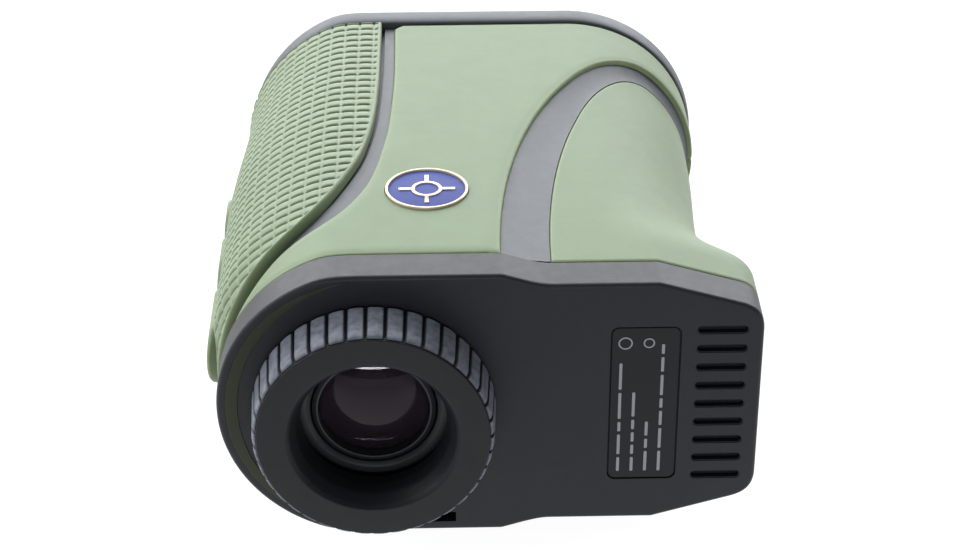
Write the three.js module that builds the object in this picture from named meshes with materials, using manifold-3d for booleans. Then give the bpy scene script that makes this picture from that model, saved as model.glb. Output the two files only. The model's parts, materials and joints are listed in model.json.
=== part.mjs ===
// Handheld laser rangefinder with a 25 mm monocular, lying on its left side.
//
// Working axes, in millimetres: +Y is the line of sight, from the eyepiece to the lenses; the eyepiece
// axis is x = 0, z = 0; the rear face is y = 0. In use -X is up, so the buttons are at -X and the foot
// is at +X; +Z is the right-hand side in use and is up as the object lies. The whole group is moved
// at the end so that its origin is the centre of its footprint on the table.
import * as THREE from "three";
import { mergeVertices } from "three/addons/utils/BufferGeometryUtils.js";
import Module from "manifold-3d";

const wasm = await Module();
wasm.setup();

// ---------------------------------------------------------------- driving dimensions
const HALF_WIDTH = 21.5; // mid-plane to the flat side
const CROWN_R = 22.2; // radius of the top end, around the eyepiece axis
const HEEL_X = 31; // where the lower end starts to round
const LASER_X = 31.5; // axis of the laser transmitter lens
const REAR_CAP = 6.2; // depth of the rear cover's side wall
const BEZEL_START = 82.4; // rear edge of the front bezel
const FRONT = 86.6; // front face of the bezel
const FOOT_X = 56.2; // foot, before its recess is taken off
const WAIST_X = 51.2; // finger waist on the underside, likewise
const NOSE_X = 52.5; // underside at the front
const RECESS = 1.7; // depth of the palm recess
const BAND_DEPTH = 0.8; // exposed housing bands, below the smooth armour
const ARMOUR = 1.2; // armour thickness
const GRIP_PROUD = 0.5; // textured grip, above the smooth armour
const GRIP_SWELL = 1.3; // extra height of the grip over the crown
const GRIP_TAPER = 1.6; // how much of it is lost towards the front bezel
const BEZEL_PROUD = 0.5; // front bezel, above the smooth armour
const BEZEL_DIP = 0.65; // taken off the bezel over the crown
const WALL = 1.5; // housing wall under the armour
const GAP = 0.3; // clearance between neighbouring pieces

// The recess is bounded by two quarter ellipses in unrolled coordinates (u across, y along).
const RECESS_U = 47.5;
const RECESS_Y = 6;
const OUTER_ARCH = { reach: 29.5, length: 67.2 };
const INNER_ARCH = { reach: 22.5, length: 64 };

// Unrolled ends of the outline: u runs from the crown mid-plane to the underside mid-plane.
const U_CROWN = (-CROWN_R * Math.PI) / 2;
const U_HEEL = HEEL_X + (HALF_WIDTH * Math.PI) / 2;

// Edges of the bands between the armour pieces, as (u, y) points for smooth curves.
const GRIP_EDGE = [
  [U_CROWN, 7.8], [-27, 9.2], [-18.4, 12.7], [-8.9, 19.5], [-3, 32], [-0.6, 44], [0.4, 62], [0.5, 82],
];
const ARMOUR_EDGE = [
  [-24.6, 6.5], [-20.4, 8.8], [-14.2, 12.6], [-6.6, 16.6], [-1.6, 25], [1.3, 39], [2.6, 58], [2.7, 82],
];

const EYECUP = { r: 16.2, lip: 11.6, throat: 10.3, y: -7.7 };
const KNURL = { r0: 17.1, r1: 16.3, y0: -0.4, y1: -6.7, teeth: 39, depth: 0.5 };
const SLEEVE_R = 14.8; // fixed focusing sleeve of the eyepiece
const BADGE = { x: 7.8, y: 24.7, r: 6.05 };
const SLOT = { x0: 45.2, x1: 52.2, pitch: 3.07, count: 9, width: 1.1, depth: 1 };
const LABEL = { x0: 33.3, x1: 42.8, half: 12.7 };
const STRAP = { x0: 5, x1: 11.4, z: 18.3, bar: 20 };
const MEASURE = { y0: 46.7, y1: 56.5 };
const MODE = { y0: 31.2, y1: 44.4 };
const REAR_PAD = { y0: 11, y1: 28.8 };
const BUTTON_HALF = 4.6;
const BUTTON_TOP = 24.4;
const OBJECTIVE_R = 14;
const LASER_R = 12.6;
const BATTERY = { y: 16.4, r: 7.8, x0: 21, x1: 48 }; // CR2 cell, upright in use
const DOOR = { y0: 8.3, y1: 24.7, half: 9.4, pinX: 49, pinY: 26.4, barrel: 1.4, knuckle: 4 };
const SCREW_HEAD = -11.5;
const SCREWS = [[22, 32], [42, 33], [22, 66.5], [42.6, 63]];

// ---------------------------------------------------------------- materials
const material = (color, roughness, metalness = 0) =>
  new THREE.MeshStandardMaterial({ color, roughness, metalness });
const FINISH = {
  armour: material(0x7d8c5c, 0.75),
  shell: material(0x4b4e58, 0.6),
  cover: material(0x23272c, 0.55),
  rubber: material(0x2a2c31, 0.8),
  glass: material(0x3a2f3c, 0.05),
  prism: material(0xb9c4cc, 0.05),
  black_metal: material(0x1d1e20, 0.4, 0.6),
  steel: material(0x9a9a9c, 0.35, 0.9),
  brass: material(0xb39a62, 0.35, 0.9),
  board: material(0x1f5a36, 0.6),
  chip: material(0x17181a, 0.5),
  badge_blue: material(0x3c4aa6, 0.4),
  badge_gold: material(0xe6d3ae, 0.3, 0.6),
  label: material(0x1f2226, 0.5),
  battery: material(0x8c8f96, 0.35, 0.6),
};

// ---------------------------------------------------------------- solids
function toSolid(geometry) {
  const bare = geometry.clone();
  bare.deleteAttribute("normal");
  bare.deleteAttribute("uv");
  const merged = mergeVertices(bare, 1e-4);
  return new wasm.Manifold(
    new wasm.Mesh({
      numProp: 3,
      vertProperties: new Float32Array(merged.attributes.position.array),
      triVerts: new Uint32Array(merged.index.array),
    }),
  );
}

function toGeometry(solid) {
  const mesh = solid.getMesh();
  const geometry = new THREE.BufferGeometry();
  const position = new THREE.BufferAttribute(new Float32Array(mesh.vertProperties), 3);
  geometry.setAttribute("position", position);
  geometry.setIndex(new THREE.BufferAttribute(new Uint32Array(mesh.triVerts), 1));
  geometry.computeVertexNormals();
  return geometry;
}

const cut = (solid, ...tools) => tools.reduce((left, tool) => left.subtract(tool), solid);
const join = (solid, ...more) => more.reduce((sum, other) => sum.add(other), solid);

function box(x0, x1, y0, y1, z0, z1) {
  const geometry = new THREE.BoxGeometry(x1 - x0, y1 - y0, z1 - z0);
  geometry.translate((x0 + x1) / 2, (y0 + y1) / 2, (z0 + z1) / 2);
  return toSolid(geometry);
}

// A cylinder or cone along Y.
function rod(r, y0, y1, x = 0, z = 0, sides = 20, r1 = r) {
  const geometry = new THREE.CylinderGeometry(r1, r, y1 - y0, sides);
  geometry.translate(x, (y0 + y1) / 2, z);
  return toSolid(geometry);
}

// A cylinder along Z.
function pin(r, z0, z1, x, y, sides = 12) {
  const geometry = new THREE.CylinderGeometry(r, r, z1 - z0, sides);
  geometry.rotateX(Math.PI / 2);
  geometry.translate(x, y, (z0 + z1) / 2);
  return toSolid(geometry);
}

// A body of revolution around Y from a closed (radius, y) profile.
function turned(profile, x = 0, sides = 24) {
  const points = profile.map(([r, y]) => new THREE.Vector2(r, y));
  if (profile[0][0] > 0) points.push(points[0].clone());
  const geometry = new THREE.LatheGeometry(points, sides);
  geometry.translate(x, 0, 0);
  const solid = toSolid(geometry);
  if (solid.volume() > 0) return solid;
  const back = new THREE.LatheGeometry(points.slice().reverse(), sides);
  back.translate(x, 0, 0);
  return toSolid(back);
}

// An (x, z) outline extruded along Y.
function plateY(outline, y0, y1) {
  const shape = new THREE.Shape(outline.map(([x, z]) => new THREE.Vector2(x, -z)));
  const geometry = new THREE.ExtrudeGeometry(shape, { depth: y1 - y0, bevelEnabled: false });
  geometry.rotateX(-Math.PI / 2);
  geometry.translate(0, y0, 0);
  return toSolid(geometry);
}

// An (y, z) oval with straight flanks, extruded along X, for the buttons and their openings.
function ovalX(x0, x1, y0, y1, half, sides = 8) {
  const shape = new THREE.Shape();
  const points = [];
  for (let i = 0; i <= sides; i++) {
    const a = (Math.PI * i) / sides;
    points.push(new THREE.Vector2(y1 - half + half * Math.sin(a), half * Math.cos(a)));
  }
  for (let i = 0; i <= sides; i++) {
    const a = (Math.PI * i) / sides;
    points.push(new THREE.Vector2(y0 + half - half * Math.sin(a), -half * Math.cos(a)));
  }
  shape.setFromPoints(points);
  const geometry = new THREE.ExtrudeGeometry(shape, { depth: x1 - x0, bevelEnabled: false });
  geometry.applyMatrix4(new THREE.Matrix4().set(0, 0, 1, x0, 1, 0, 0, 0, 0, 1, 0, 0, 0, 0, 0, 1));
  return toSolid(geometry);
}

// ---------------------------------------------------------------- body surface
const smooth = (t) => {
  const c = Math.min(1, Math.max(0, t));
  return c * c * (3 - 2 * c);
};
const mix = (a, b, w) => a + (b - a) * w;

const footEnd = new THREE.Path();
footEnd.moveTo(HEEL_X, HALF_WIDTH);
footEnd.lineTo(40, HALF_WIDTH);
footEnd.lineTo(51.6, 18.1);
footEnd.quadraticCurveTo(FOOT_X, 16.8, FOOT_X, 12);
footEnd.lineTo(FOOT_X, 0);

// How much of the foot's section is left at y: all of it at the rear, and none by the front third.
const footShare = (y) => (1 - smooth((y - 40) / 25)) / (1 + (Math.max(0, y - 11) / 9) ** 2.5);

// Upper half of the section at y: [x, z] at the unrolled coordinate u.
function halfSection(u, y) {
  if (u <= 0) {
    const angle = Math.min(-u / CROWN_R, Math.PI / 2);
    return [-CROWN_R * Math.sin(angle), Math.min(HALF_WIDTH, CROWN_R * Math.cos(angle))];
  }
  if (u <= HEEL_X) return [u, HALF_WIDTH];
  const t = Math.min(1, (u - HEEL_X) / (U_HEEL - HEEL_X));
  const noseReach = mix(WAIST_X, NOSE_X, smooth((y - 36) / 28)) - HEEL_X;
  const angle = (t * Math.PI) / 2;
  const nose = [HEEL_X + noseReach * Math.sin(angle), HALF_WIDTH * Math.cos(angle)];
  const foot = footEnd.getPointAt(t);
  const w = footShare(y);
  return [mix(nose[0], foot.x, w), mix(nose[1], foot.y, w)];
}

// The same past either mid-plane, where it is the mirror image.
function section(u, y) {
  if (u > U_HEEL) {
    const [x, z] = halfSection(2 * U_HEEL - u, y);
    return [x, -z];
  }
  if (u < U_CROWN) {
    const [x, z] = halfSection(2 * U_CROWN - u, y);
    return [x, -z];
  }
  return halfSection(u, y);
}

// A point of the body surface, moved outwards by offset along the section's normal.
function onBody(u, y, offset) {
  const step = 0.6;
  const [x, z] = section(u, y);
  const [xa, za] = section(u - step, y);
  const [xb, zb] = section(u + step, y);
  const length = Math.hypot(xb - xa, zb - za);
  return [x - ((zb - za) / length) * offset, y, z + ((xb - xa) / length) * offset];
}

// 0 on the flat sides, rising to 1 over the crown.
function crownward(u) {
  const near = u > U_HEEL ? 2 * U_HEEL - u : u;
  return smooth((-Math.max(near, 2 * U_CROWN - near) - 4) / 22);
}

const gripSwell = (u, y) =>
  (GRIP_SWELL - GRIP_TAPER * smooth((y - 46) / 32)) * smooth((y - 3) / 11) * crownward(u);

// 0 outside the palm recess, 1 inside it, and rising across the band between them.
function recessed(u, y) {
  const across = Math.max(0, RECESS_U - (u > U_HEEL ? 2 * U_HEEL - u : u));
  const outer = Math.hypot(across / OUTER_ARCH.reach, (y - RECESS_Y) / OUTER_ARCH.length);
  const inner = Math.hypot(across / INNER_ARCH.reach, (y - RECESS_Y) / INNER_ARCH.length);
  if (outer >= 1) return 0;
  if (inner <= 1) return 1;
  return Math.sin(((1 - outer) / (inner - outer)) * (Math.PI / 2));
}

// A closed slab between two grids of points, rows of equal length.
function slab(outer, inner) {
  const rows = outer.length;
  const columns = outer[0].length;
  const points = [...outer.flat(), ...inner.flat()];
  const at = (layer, i, j) => layer * rows * columns + i * columns + j;
  const faces = [];
  const quad = (a, b, c, d) => faces.push(a, b, c, a, c, d);
  for (let i = 0; i < rows - 1; i++) {
    for (let j = 0; j < columns - 1; j++) {
      quad(at(0, i, j), at(0, i, j + 1), at(0, i + 1, j + 1), at(0, i + 1, j));
      quad(at(1, i, j), at(1, i + 1, j), at(1, i + 1, j + 1), at(1, i, j + 1));
    }
  }
  for (let j = 0; j < columns - 1; j++) {
    quad(at(0, 0, j + 1), at(0, 0, j), at(1, 0, j), at(1, 0, j + 1));
    quad(at(0, rows - 1, j), at(0, rows - 1, j + 1), at(1, rows - 1, j + 1), at(1, rows - 1, j));
  }
  for (let i = 0; i < rows - 1; i++) {
    quad(at(0, i, 0), at(0, i + 1, 0), at(1, i + 1, 0), at(1, i, 0));
    quad(at(0, i + 1, columns - 1), at(0, i, columns - 1), at(1, i, columns - 1), at(1, i + 1, columns - 1));
  }
  const build = (order) => {
    const geometry = new THREE.BufferGeometry();
    geometry.setAttribute("position", new THREE.Float32BufferAttribute(points.flat(), 3));
    geometry.setIndex(order);
    return toSolid(geometry);
  };
  const solid = build(faces);
  if (solid.volume() > 0) return solid;
  const flipped = [];
  for (let i = 0; i < faces.length; i += 3) flipped.push(faces[i], faces[i + 2], faces[i + 1]);
  return build(flipped);
}

// Armour: a slab on the body surface between two edges, each a function of t giving [u, y].
function skin(edgeA, edgeB, rows, columns, outerOffset, innerOffset) {
  const outer = [];
  const inner = [];
  for (let i = 0; i <= rows; i++) {
    const [ua, ya] = edgeA(i / rows);
    const [ub, yb] = edgeB(i / rows);
    const line = (offset) =>
      Array.from({ length: columns + 1 }, (_, j) => {
        const s = j / columns;
        const u = mix(ua, ub, s);
        const y = mix(ya, yb, s);
        return onBody(u, y, offset(u, y));
      });
    outer.push(line(outerOffset));
    inner.push(line(() => innerOffset));
  }
  return slab(outer, inner);
}

// A full ring of the body surface lofted along Y between stations, capped at both ends.
function tube(stations, around, offset) {
  const rings = stations.map((y) =>
    Array.from({ length: around }, (_, k) => {
      const u = mix(U_CROWN, 2 * U_HEEL - U_CROWN, k / around);
      return onBody(u, y, offset(u, y));
    }),
  );
  const points = rings.flat();
  const faces = [];
  for (let i = 0; i < rings.length - 1; i++) {
    for (let k = 0; k < around; k++) {
      const next = (k + 1) % around;
      const [a, b, c, d] = [i * around + k, i * around + next, (i + 1) * around + next, (i + 1) * around + k];
      faces.push(a, b, c, a, c, d);
    }
  }
  const last = (rings.length - 1) * around;
  const rear = points.push([HEEL_X / 2, stations[0], 0]) - 1;
  const front = points.push([HEEL_X / 2, stations[stations.length - 1], 0]) - 1;
  for (let k = 0; k < around; k++) {
    const next = (k + 1) % around;
    faces.push(rear, next, k, front, last + k, last + next);
  }
  const build = (order) => {
    const geometry = new THREE.BufferGeometry();
    geometry.setAttribute("position", new THREE.Float32BufferAttribute(points.flat(), 3));
    geometry.setIndex(order);
    return toSolid(geometry);
  };
  const solid = build(faces);
  if (solid.volume() > 0) return solid;
  const flipped = [];
  for (let i = 0; i < faces.length; i += 3) flipped.push(faces[i], faces[i + 2], faces[i + 1]);
  return build(flipped);
}

// A smooth curve through (u, y) points, as a function of t.
function curve(points, shift = [0, 0]) {
  const spline = new THREE.CatmullRomCurve3(points.map(([u, y]) => new THREE.Vector3(u, y, 0)));
  return (t) => {
    const p = spline.getPointAt(Math.min(1, t));
    return [p.x + shift[0], p.y + shift[1]];
  };
}

// ---------------------------------------------------------------- the object
const group = new THREE.Group();
const solids = {};
function add(name, solid, finish) {
  const mesh = new THREE.Mesh(toGeometry(solid.simplify(0.03)), FINISH[finish]);
  mesh.name = name;
  group.add(mesh);
  solids[name] = solid;
  return solid;
}

// ---- armour, each piece with the pocket that the housing leaves for it
const SPINE = (t) => [U_CROWN, mix(GRIP_EDGE[0][1], BEZEL_START - GAP, t)];

function gripHalf(grow, level, inner) {
  const edge = curve(GRIP_EDGE);
  const rim = (t) => {
    const [u, y] = edge(t);
    return [u + grow, Math.min(y - grow * smooth(1 - t), BEZEL_START - GAP + grow)];
  };
  const spine = (t) => {
    const [u, y] = SPINE(t);
    return [u, mix(y - grow, y + grow, t)];
  };
  return (mirrored) =>
    skin(
      mirrored ? (t) => [2 * U_CROWN - rim(t)[0], rim(t)[1]] : spine,
      mirrored ? spine : rim,
      12,
      7,
      level,
      inner,
    );
}

function gripCover(grow, level, inner) {
  const half = gripHalf(grow, level, inner);
  return join(half(false), half(true));
}

const archPoint = (angle, arch, grow, rear) => [
  RECESS_U - (arch.reach + grow) * Math.cos(angle),
  Math.max(rear, RECESS_Y + (arch.length + grow) * Math.sin(angle)),
];

// Smooth side armour: from the rear cover along the recess, then round the underside at the front.
function sideArmour(grow, offset, inner) {
  const front = BEZEL_START - GAP + grow;
  const left = curve(ARMOUR_EDGE);
  const turn = 11 / 18;
  const across = 15 / 18;
  const abreast = 0.88; // where the left edge is level with the top of the arch
  const edgeA = (t) => {
    const [u, y] = left(t < turn ? abreast * (t / turn) ** 0.8 : mix(abreast, 1, (t - turn) / (1 - turn)));
    const shift = mix(-grow, grow, Math.min(1, 18 * t));
    return [u - 1.4 * grow, Math.min(front, Math.max(REAR_CAP + GAP - grow, y + shift))];
  };
  const edgeB = (t) => {
    if (t < turn) return archPoint(((t / turn) * Math.PI) / 2, OUTER_ARCH, -grow, REAR_CAP + GAP - grow);
    const flat = RECESS_Y + OUTER_ARCH.length - grow;
    if (t < across) return [mix(RECESS_U, U_HEEL - 0.05, (t - turn) / (across - turn)), flat];
    return [U_HEEL - 0.05, mix(flat, front, (t - across) / (1 - across))];
  };
  return skin(edgeA, edgeB, 18, 10, () => offset, inner);
}

function palmCover(grow, offset, inner) {
  const edge = (t) => archPoint((t * Math.PI) / 2, INNER_ARCH, grow, REAR_CAP + GAP - grow);
  const far = (t) => {
    const [u, y] = edge(t);
    return [2 * U_HEEL - u, y];
  };
  return skin(edge, far, 16, 22, () => offset, inner);
}

const mirrorZ = (solid) => solid.mirror([0, 0, 1]);
const CLEAR = 1.2; // how far the pocket cutters stand above the surface they cut
const POCKET = -ARMOUR - GAP - 0.1;
const rightPocket = sideArmour(GAP + 0.05, CLEAR, POCKET);
const gripPocket = gripCover(GAP, () => CLEAR, POCKET);
const palmPocket = palmCover(GAP, CLEAR - RECESS, POCKET - RECESS);

// ---- housing: a tube with the bands showing, split on the mid-plane
const STATIONS = [REAR_CAP + GAP, 12, 15, 18, 21, 25, 31, 44, 56, 64, 68, 70.2, 71.6, 73.3, BEZEL_START - GAP];
const bandLevel = (u, y) => -BAND_DEPTH - (RECESS - BAND_DEPTH) * recessed(u, y);
const wallLevel = (depth) => (u, y) => -depth - RECESS * recessed(u, y);
const CAVITY_STATIONS = [-1, 12, 16, 21, 28, 42, 56, 65, 73.3, FRONT + 1];
const outside = tube(STATIONS, 56, bandLevel);
const cavity = tube(CAVITY_STATIONS, 36, wallLevel(ARMOUR + GAP + WALL));
const midWall = tube(CAVITY_STATIONS, 36, wallLevel(ARMOUR + GAP + WALL / 2));
const shellTube = cut(outside, cavity, rightPocket, mirrorZ(rightPocket), gripPocket, palmPocket);

const inset = 1.2;
const hingeEnd = DOOR.pinY + 3.3;
const doorOpening = box(36, 60, DOOR.y0 + inset, hingeEnd, -DOOR.half + 0.6, DOOR.half - 0.6);
const doorSkinOpening = box(36, 60, DOOR.y0 - GAP, hingeEnd, -DOOR.half - GAP, DOOR.half + GAP);
const oval = ({ y0, y1 }, x0, x1, grow) => ovalX(x0, x1, y0 - grow, y1 + grow, BUTTON_HALF + grow);
const buttonOpenings = [oval(MEASURE, -30, -15, GAP), oval(MODE, -30, -15, GAP)];
const openHousing = cut(shellTube, doorOpening, ...buttonOpenings);

function housingHalf(side) {
  const keep = side > 0 ? box(-60, 90, -10, 120, 0.05, 60) : box(-60, 90, -10, 120, -60, -0.05);
  let half = openHousing.intersect(keep);
  const [z0, z1] = side > 0 ? [0.05, 30] : [-30, -0.05];
  for (const [x, y] of SCREWS) {
    half = join(half, pin(3, z0, z1, x, y).intersect(midWall));
    half = cut(half, pin(1.2, side > 0 ? -1 : -30, side > 0 ? 7 : 1, x, y));
    if (side < 0) half = cut(half, pin(2.1, -30, SCREW_HEAD + 1.3, x, y));
  }
  half = cut(half, side > 0 ? rightPocket : mirrorZ(rightPocket), palmPocket);
  const [z2, z3] = [DOOR.knuckle + GAP, DOOR.knuckle + 3];
  const lug = pin(DOOR.barrel, z2, z3, DOOR.pinX, DOOR.pinY);
  const arm = box(DOOR.pinX - 2.9, DOOR.pinX - 1.3, DOOR.pinY - 0.8, hingeEnd + 1, z2, z3);
  const hinge = cut(join(lug, arm), pin(0.95, -30, 30, DOOR.pinX, DOOR.pinY));
  return join(half, side > 0 ? hinge : mirrorZ(hinge));
}

add("housing_right", housingHalf(1), "shell");
add("housing_left", housingHalf(-1), "shell");
SCREWS.forEach(([x, y], i) => {
  const screw = join(
    pin(1.8, SCREW_HEAD, SCREW_HEAD + 1.1, x, y, 10),
    pin(0.9, SCREW_HEAD + 1, 5, x, y, 8),
  );
  add("case_screw_" + (i + 1), screw, "steel");
});

// ---- armour pieces
const badgeSeat = pin(BADGE.r + 0.15, HALF_WIDTH - 0.9, HALF_WIDTH + 2, BADGE.x, BADGE.y, 32);
const rightArmour = sideArmour(0, 0, -ARMOUR);
add("side_armour_right", cut(rightArmour, badgeSeat), "armour");
add("side_armour_left", mirrorZ(rightArmour), "armour");
const gripOpenings = [...buttonOpenings, oval(REAR_PAD, -30, -15, GAP)];
const gripLevel = (u, y) => GRIP_PROUD + gripSwell(u, y);
add("grip_cover", cut(gripCover(0, gripLevel, -ARMOUR), ...gripOpenings), "armour");
const palm = palmCover(0, -RECESS, -RECESS - ARMOUR);
add("palm_cover", cut(palm, doorSkinOpening), "armour");

// ---- badge
const badgeTop = HALF_WIDTH + 0.35;
const badgeRing = cut(
  pin(BADGE.r, HALF_WIDTH - 0.8, badgeTop, BADGE.x, BADGE.y, 32),
  pin(BADGE.r - 0.75, HALF_WIDTH - 0.35, badgeTop + 1, BADGE.x, BADGE.y, 32),
);
add("badge_ring", badgeRing, "badge_gold");
const enamel = pin(BADGE.r - 0.9, HALF_WIDTH - 0.3, HALF_WIDTH + 0.05, BADGE.x, BADGE.y, 32);
add("badge_disc", enamel, "badge_blue");

// ---- rear cover, with its slots, label plate and accent
const capLevel = (u, y) => {
  const rolled = 1 - smooth(Math.sqrt(Math.max(0, y) / 0.9));
  return -RECESS * recessed(u, RECESS_Y) - 0.8 * rolled;
};
const capInside = (u) => -RECESS * recessed(u, RECESS_Y) - 1.8;
const slotOutline = (x0, x1, z, half) => {
  const points = [];
  for (let i = 0; i <= 4; i++) {
    const a = (Math.PI * i) / 4;
    points.push([x1 - half + half * Math.sin(a), z + half * Math.cos(a)]);
  }
  for (let i = 0; i <= 4; i++) {
    const a = (Math.PI * i) / 4;
    points.push([x0 + half - half * Math.sin(a), z - half * Math.cos(a)]);
  }
  return points;
};
let rearCover = cut(tube([0, 0.2, 0.9, REAR_CAP], 64, capLevel), tube([2, REAR_CAP + 1], 48, capInside));
for (let i = 0; i < SLOT.count; i++) {
  const z = (i - (SLOT.count - 1) / 2) * SLOT.pitch;
  rearCover = cut(rearCover, plateY(slotOutline(SLOT.x0, SLOT.x1, z, SLOT.width / 2), -1, SLOT.depth));
}
rearCover = cut(
  rearCover,
  box(LABEL.x0 - 0.2, LABEL.x1 + 0.2, -1, 0.6, -LABEL.half - 0.2, LABEL.half + 0.2),
  rod(SLEEVE_R + GAP, -1, 4, 0, 0, 40),
  box(STRAP.x0, STRAP.x1, -1, 4.6, -STRAP.bar, -STRAP.z),
  box(STRAP.x0, STRAP.x1, 2.6, 4.6, -HALF_WIDTH - 1, -STRAP.z),
);
const crescent = cut(rod(21, -0.25, 0.4, 0, 0, 64), rod(21.4, -1, 1, 2.2, 0, 64));
const crescentSeat = cut(rod(21.1, -1, 0.5, 0, 0, 64), rod(21.3, -2, 2, 2.2, 0, 64));
add("rear_cover", cut(rearCover, crescentSeat), "cover");
add("rear_accent", crescent, "armour");
const labelOutline = slotOutline(LABEL.x0, LABEL.x1, 0, 1)
  .map(([x, z]) => [x, z + Math.sign(z || 1) * (LABEL.half - 1)]);
add("label_plate", plateY(labelOutline, 0.05, 0.5), "label");

// ---- eyepiece: the diopter ring carries the eyecup and the lens cell in a fixed sleeve
const toothed = [];
for (let i = 0; i < KNURL.teeth; i++) {
  for (const [part, r] of [[0.1, KNURL.r0], [0.75, KNURL.r0], [0.92, KNURL.r0 - KNURL.depth]]) {
    const a = ((i + part) / KNURL.teeth) * Math.PI * 2;
    toothed.push([r * Math.cos(a), r * Math.sin(a)]);
  }
}
const knurl = cut(
  plateY(toothed, KNURL.y1, KNURL.y0).intersect(rod(KNURL.r1, KNURL.y1, KNURL.y0, 0, 0, 78, KNURL.r0)),
  rod(14.3, -20, 5, 0, 0, 40),
);
add("diopter_ring", knurl, "rubber");
const eyecup = [
  [EYECUP.throat, -1.9], [EYECUP.throat, -3.6], [10.7, -5.4], [EYECUP.lip, -7.1], [12.2, EYECUP.y],
  [EYECUP.r - 0.5, EYECUP.y], [EYECUP.r, -7.4], [EYECUP.r, -6.9], [14, -6.9], [14, -0.6], [13.2, -0.6],
  [13.2, -1.9],
];
add("eyecup", turned(eyecup, 0, 32), "rubber");
const eyeCell = [
  [9, -0.6], [12.9, -0.6], [12.9, 12.5], [9, 12.5], [9, 6.2], [7.9, 6.2], [7.9, 5.2], [9, 5.2],
];
add("eyepiece_cell", turned(eyeCell, 0, 24), "black_metal");
const lens = (r, y0, y1, bulge0, bulge1, x = 0, sides = 28) =>
  turned(
    [
      [0, y0 - bulge0], [r * 0.5, y0 - bulge0 * 0.75], [r, y0],
      [r, y1], [r * 0.5, y1 + bulge1 * 0.75], [0, y1 + bulge1],
    ],
    x,
    sides,
  );
add("eye_lens", lens(8.7, 1.7, 4.2, 2.3, 0.6), "glass");
add("field_lens", lens(8.7, 7.2, 9.6, 0.5, 0.9), "glass");
add("eye_lens_ring", turned([[7.9, -0.4], [8.7, -0.4], [8.7, 1.3], [7.9, 1.3]], 0, 24), "black_metal");
const sleeve = turned([[13.2, 0.2], [SLEEVE_R, 0.2], [SLEEVE_R, 14], [13.2, 14]], 0, 40);
add("focus_sleeve", sleeve, "black_metal");

// ---- front: bezel, plate, objective and laser transmitter
const bezelLevel = (u, y) => {
  const proud = BEZEL_PROUD - BEZEL_DIP * crownward(u);
  return y < FRONT - 1 ? proud : y < FRONT - 0.2 ? proud - 0.5 : proud - 1.2;
};
const bezelHole = tube([BEZEL_START - 1, FRONT + 1], 48, () => -3.2);
const plateSeat = tube([84.6, FRONT + 1], 48, () => -2.2);
const rim = [BEZEL_START, FRONT - 1.2, FRONT - 0.5, FRONT];
const frontBezel = cut(tube(rim, 64, bezelLevel), bezelHole, plateSeat);
add("front_bezel", frontBezel, "shell");
const frontPlate = cut(
  tube([84.9, 86], 48, () => -2.5),
  rod(OBJECTIVE_R + GAP, 80, 90, 0, 0, 40),
  rod(LASER_R + GAP, 80, 90, LASER_X, 0, 40),
);
add("front_plate", frontPlate, "cover");

function lensGroup(name, x, r, back) {
  const bore = r - 1.3;
  const cell = [
    [bore, back], [r, back], [r, FRONT - 1], [r - 0.5, FRONT - 0.5], [r - 0.9, FRONT - 0.5],
    [bore, FRONT - 1.2], [bore, 79], [bore - 1, 79], [bore - 1, 78], [bore, 78],
  ];
  add(name + "_cell", turned(cell, x, 28), "black_metal");
  add(name + "_lens", lens(bore - GAP, 80, 83.4, 0, 1.3, x), "glass");
  const ring = [[bore - 1.2, 83.8], [bore - GAP, 83.8], [bore - GAP, 85.6], [bore - 0.7, 85.6]];
  add(name + "_ring", turned(ring, x, 28), "black_metal");
}
lensGroup("objective", 0, OBJECTIVE_R, 66);
lensGroup("laser", LASER_X, LASER_R, 72);

// ---- optics and electronics inside
const prismOutline = [[-8, -8], [8, -8], [8, 8], [-8, 8]];
const prismBody = cut(
  plateY(prismOutline, 24, 42),
  toSolid(new THREE.BoxGeometry(30, 12, 30).rotateZ(Math.PI / 4).translate(10, 22, 0)),
);
add("prism_block", prismBody, "prism");
const prismMount = cut(
  box(-10, 10, 20.5, 44, -11, 11),
  box(-8.4, 8.4, 22, 60, -8.4, 8.4),
  rod(6, 15, 30, 0, 0, 24),
);
add("prism_mount", prismMount, "black_metal");
add("display_panel", cut(box(-8, 8, 17.4, 19.2, -8, 8), rod(4.5, 10, 30, 0, 0, 24)), "chip");
const detector = join(box(10.4, 14.4, 27, 35, -4, 4), pin(2.2, -2, 2, 12.4, 36));
add("detector_module", detector, "chip");
const laserDiode = join(rod(4.5, 50, 62, LASER_X), rod(5.4, 58, 60, LASER_X), rod(1.8, 61, 64, LASER_X));
add("laser_diode", laserDiode, "steel");
add("laser_board", cut(box(24.8, 39.5, 46.8, 48.2, -11, 11), box(20, 25.4, 40, 50, 6, 20)), "board");
const mainBoard = cut(box(17.2, 18.4, 27.5, 64, -14, 14), box(10, 20, 40, 46, -20, -9));
add("main_board", mainBoard, "board");
add("processor_chip", box(15.4, 16.9, 48, 58, -6, 6), "chip");
add("button_board", box(-14.9, -13.9, 30, 61, -6, 6), "board");
const crown = rod(BUTTON_TOP, 0, 80, 0, 0, 72);
for (const [name, { y0, y1 }] of [["measure", MEASURE], ["mode", MODE]]) {
  const y = (y0 + y1) / 2;
  const dome = new THREE.CylinderGeometry(1.6, 2.6, 0.8, 12).rotateZ(Math.PI / 2).translate(-15.6, y, 0);
  add(name + "_switch", toSolid(dome), "steel");
  const cap = oval({ y0, y1 }, -BUTTON_TOP - 1, -17.4, 0);
  const flange = oval({ y0, y1 }, -17.8, -17, 0.9);
  add(name + "_button", join(cap.intersect(crown), flange), "rubber");
}

const padBed = rod(CROWN_R - ARMOUR + 0.1, 0, 80, 0, 0, 72);
const rearPad = oval(REAR_PAD, -BUTTON_TOP - 1, -15, 0).intersect(crown.subtract(padBed));
add("rear_pad", rearPad, "rubber");

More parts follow.
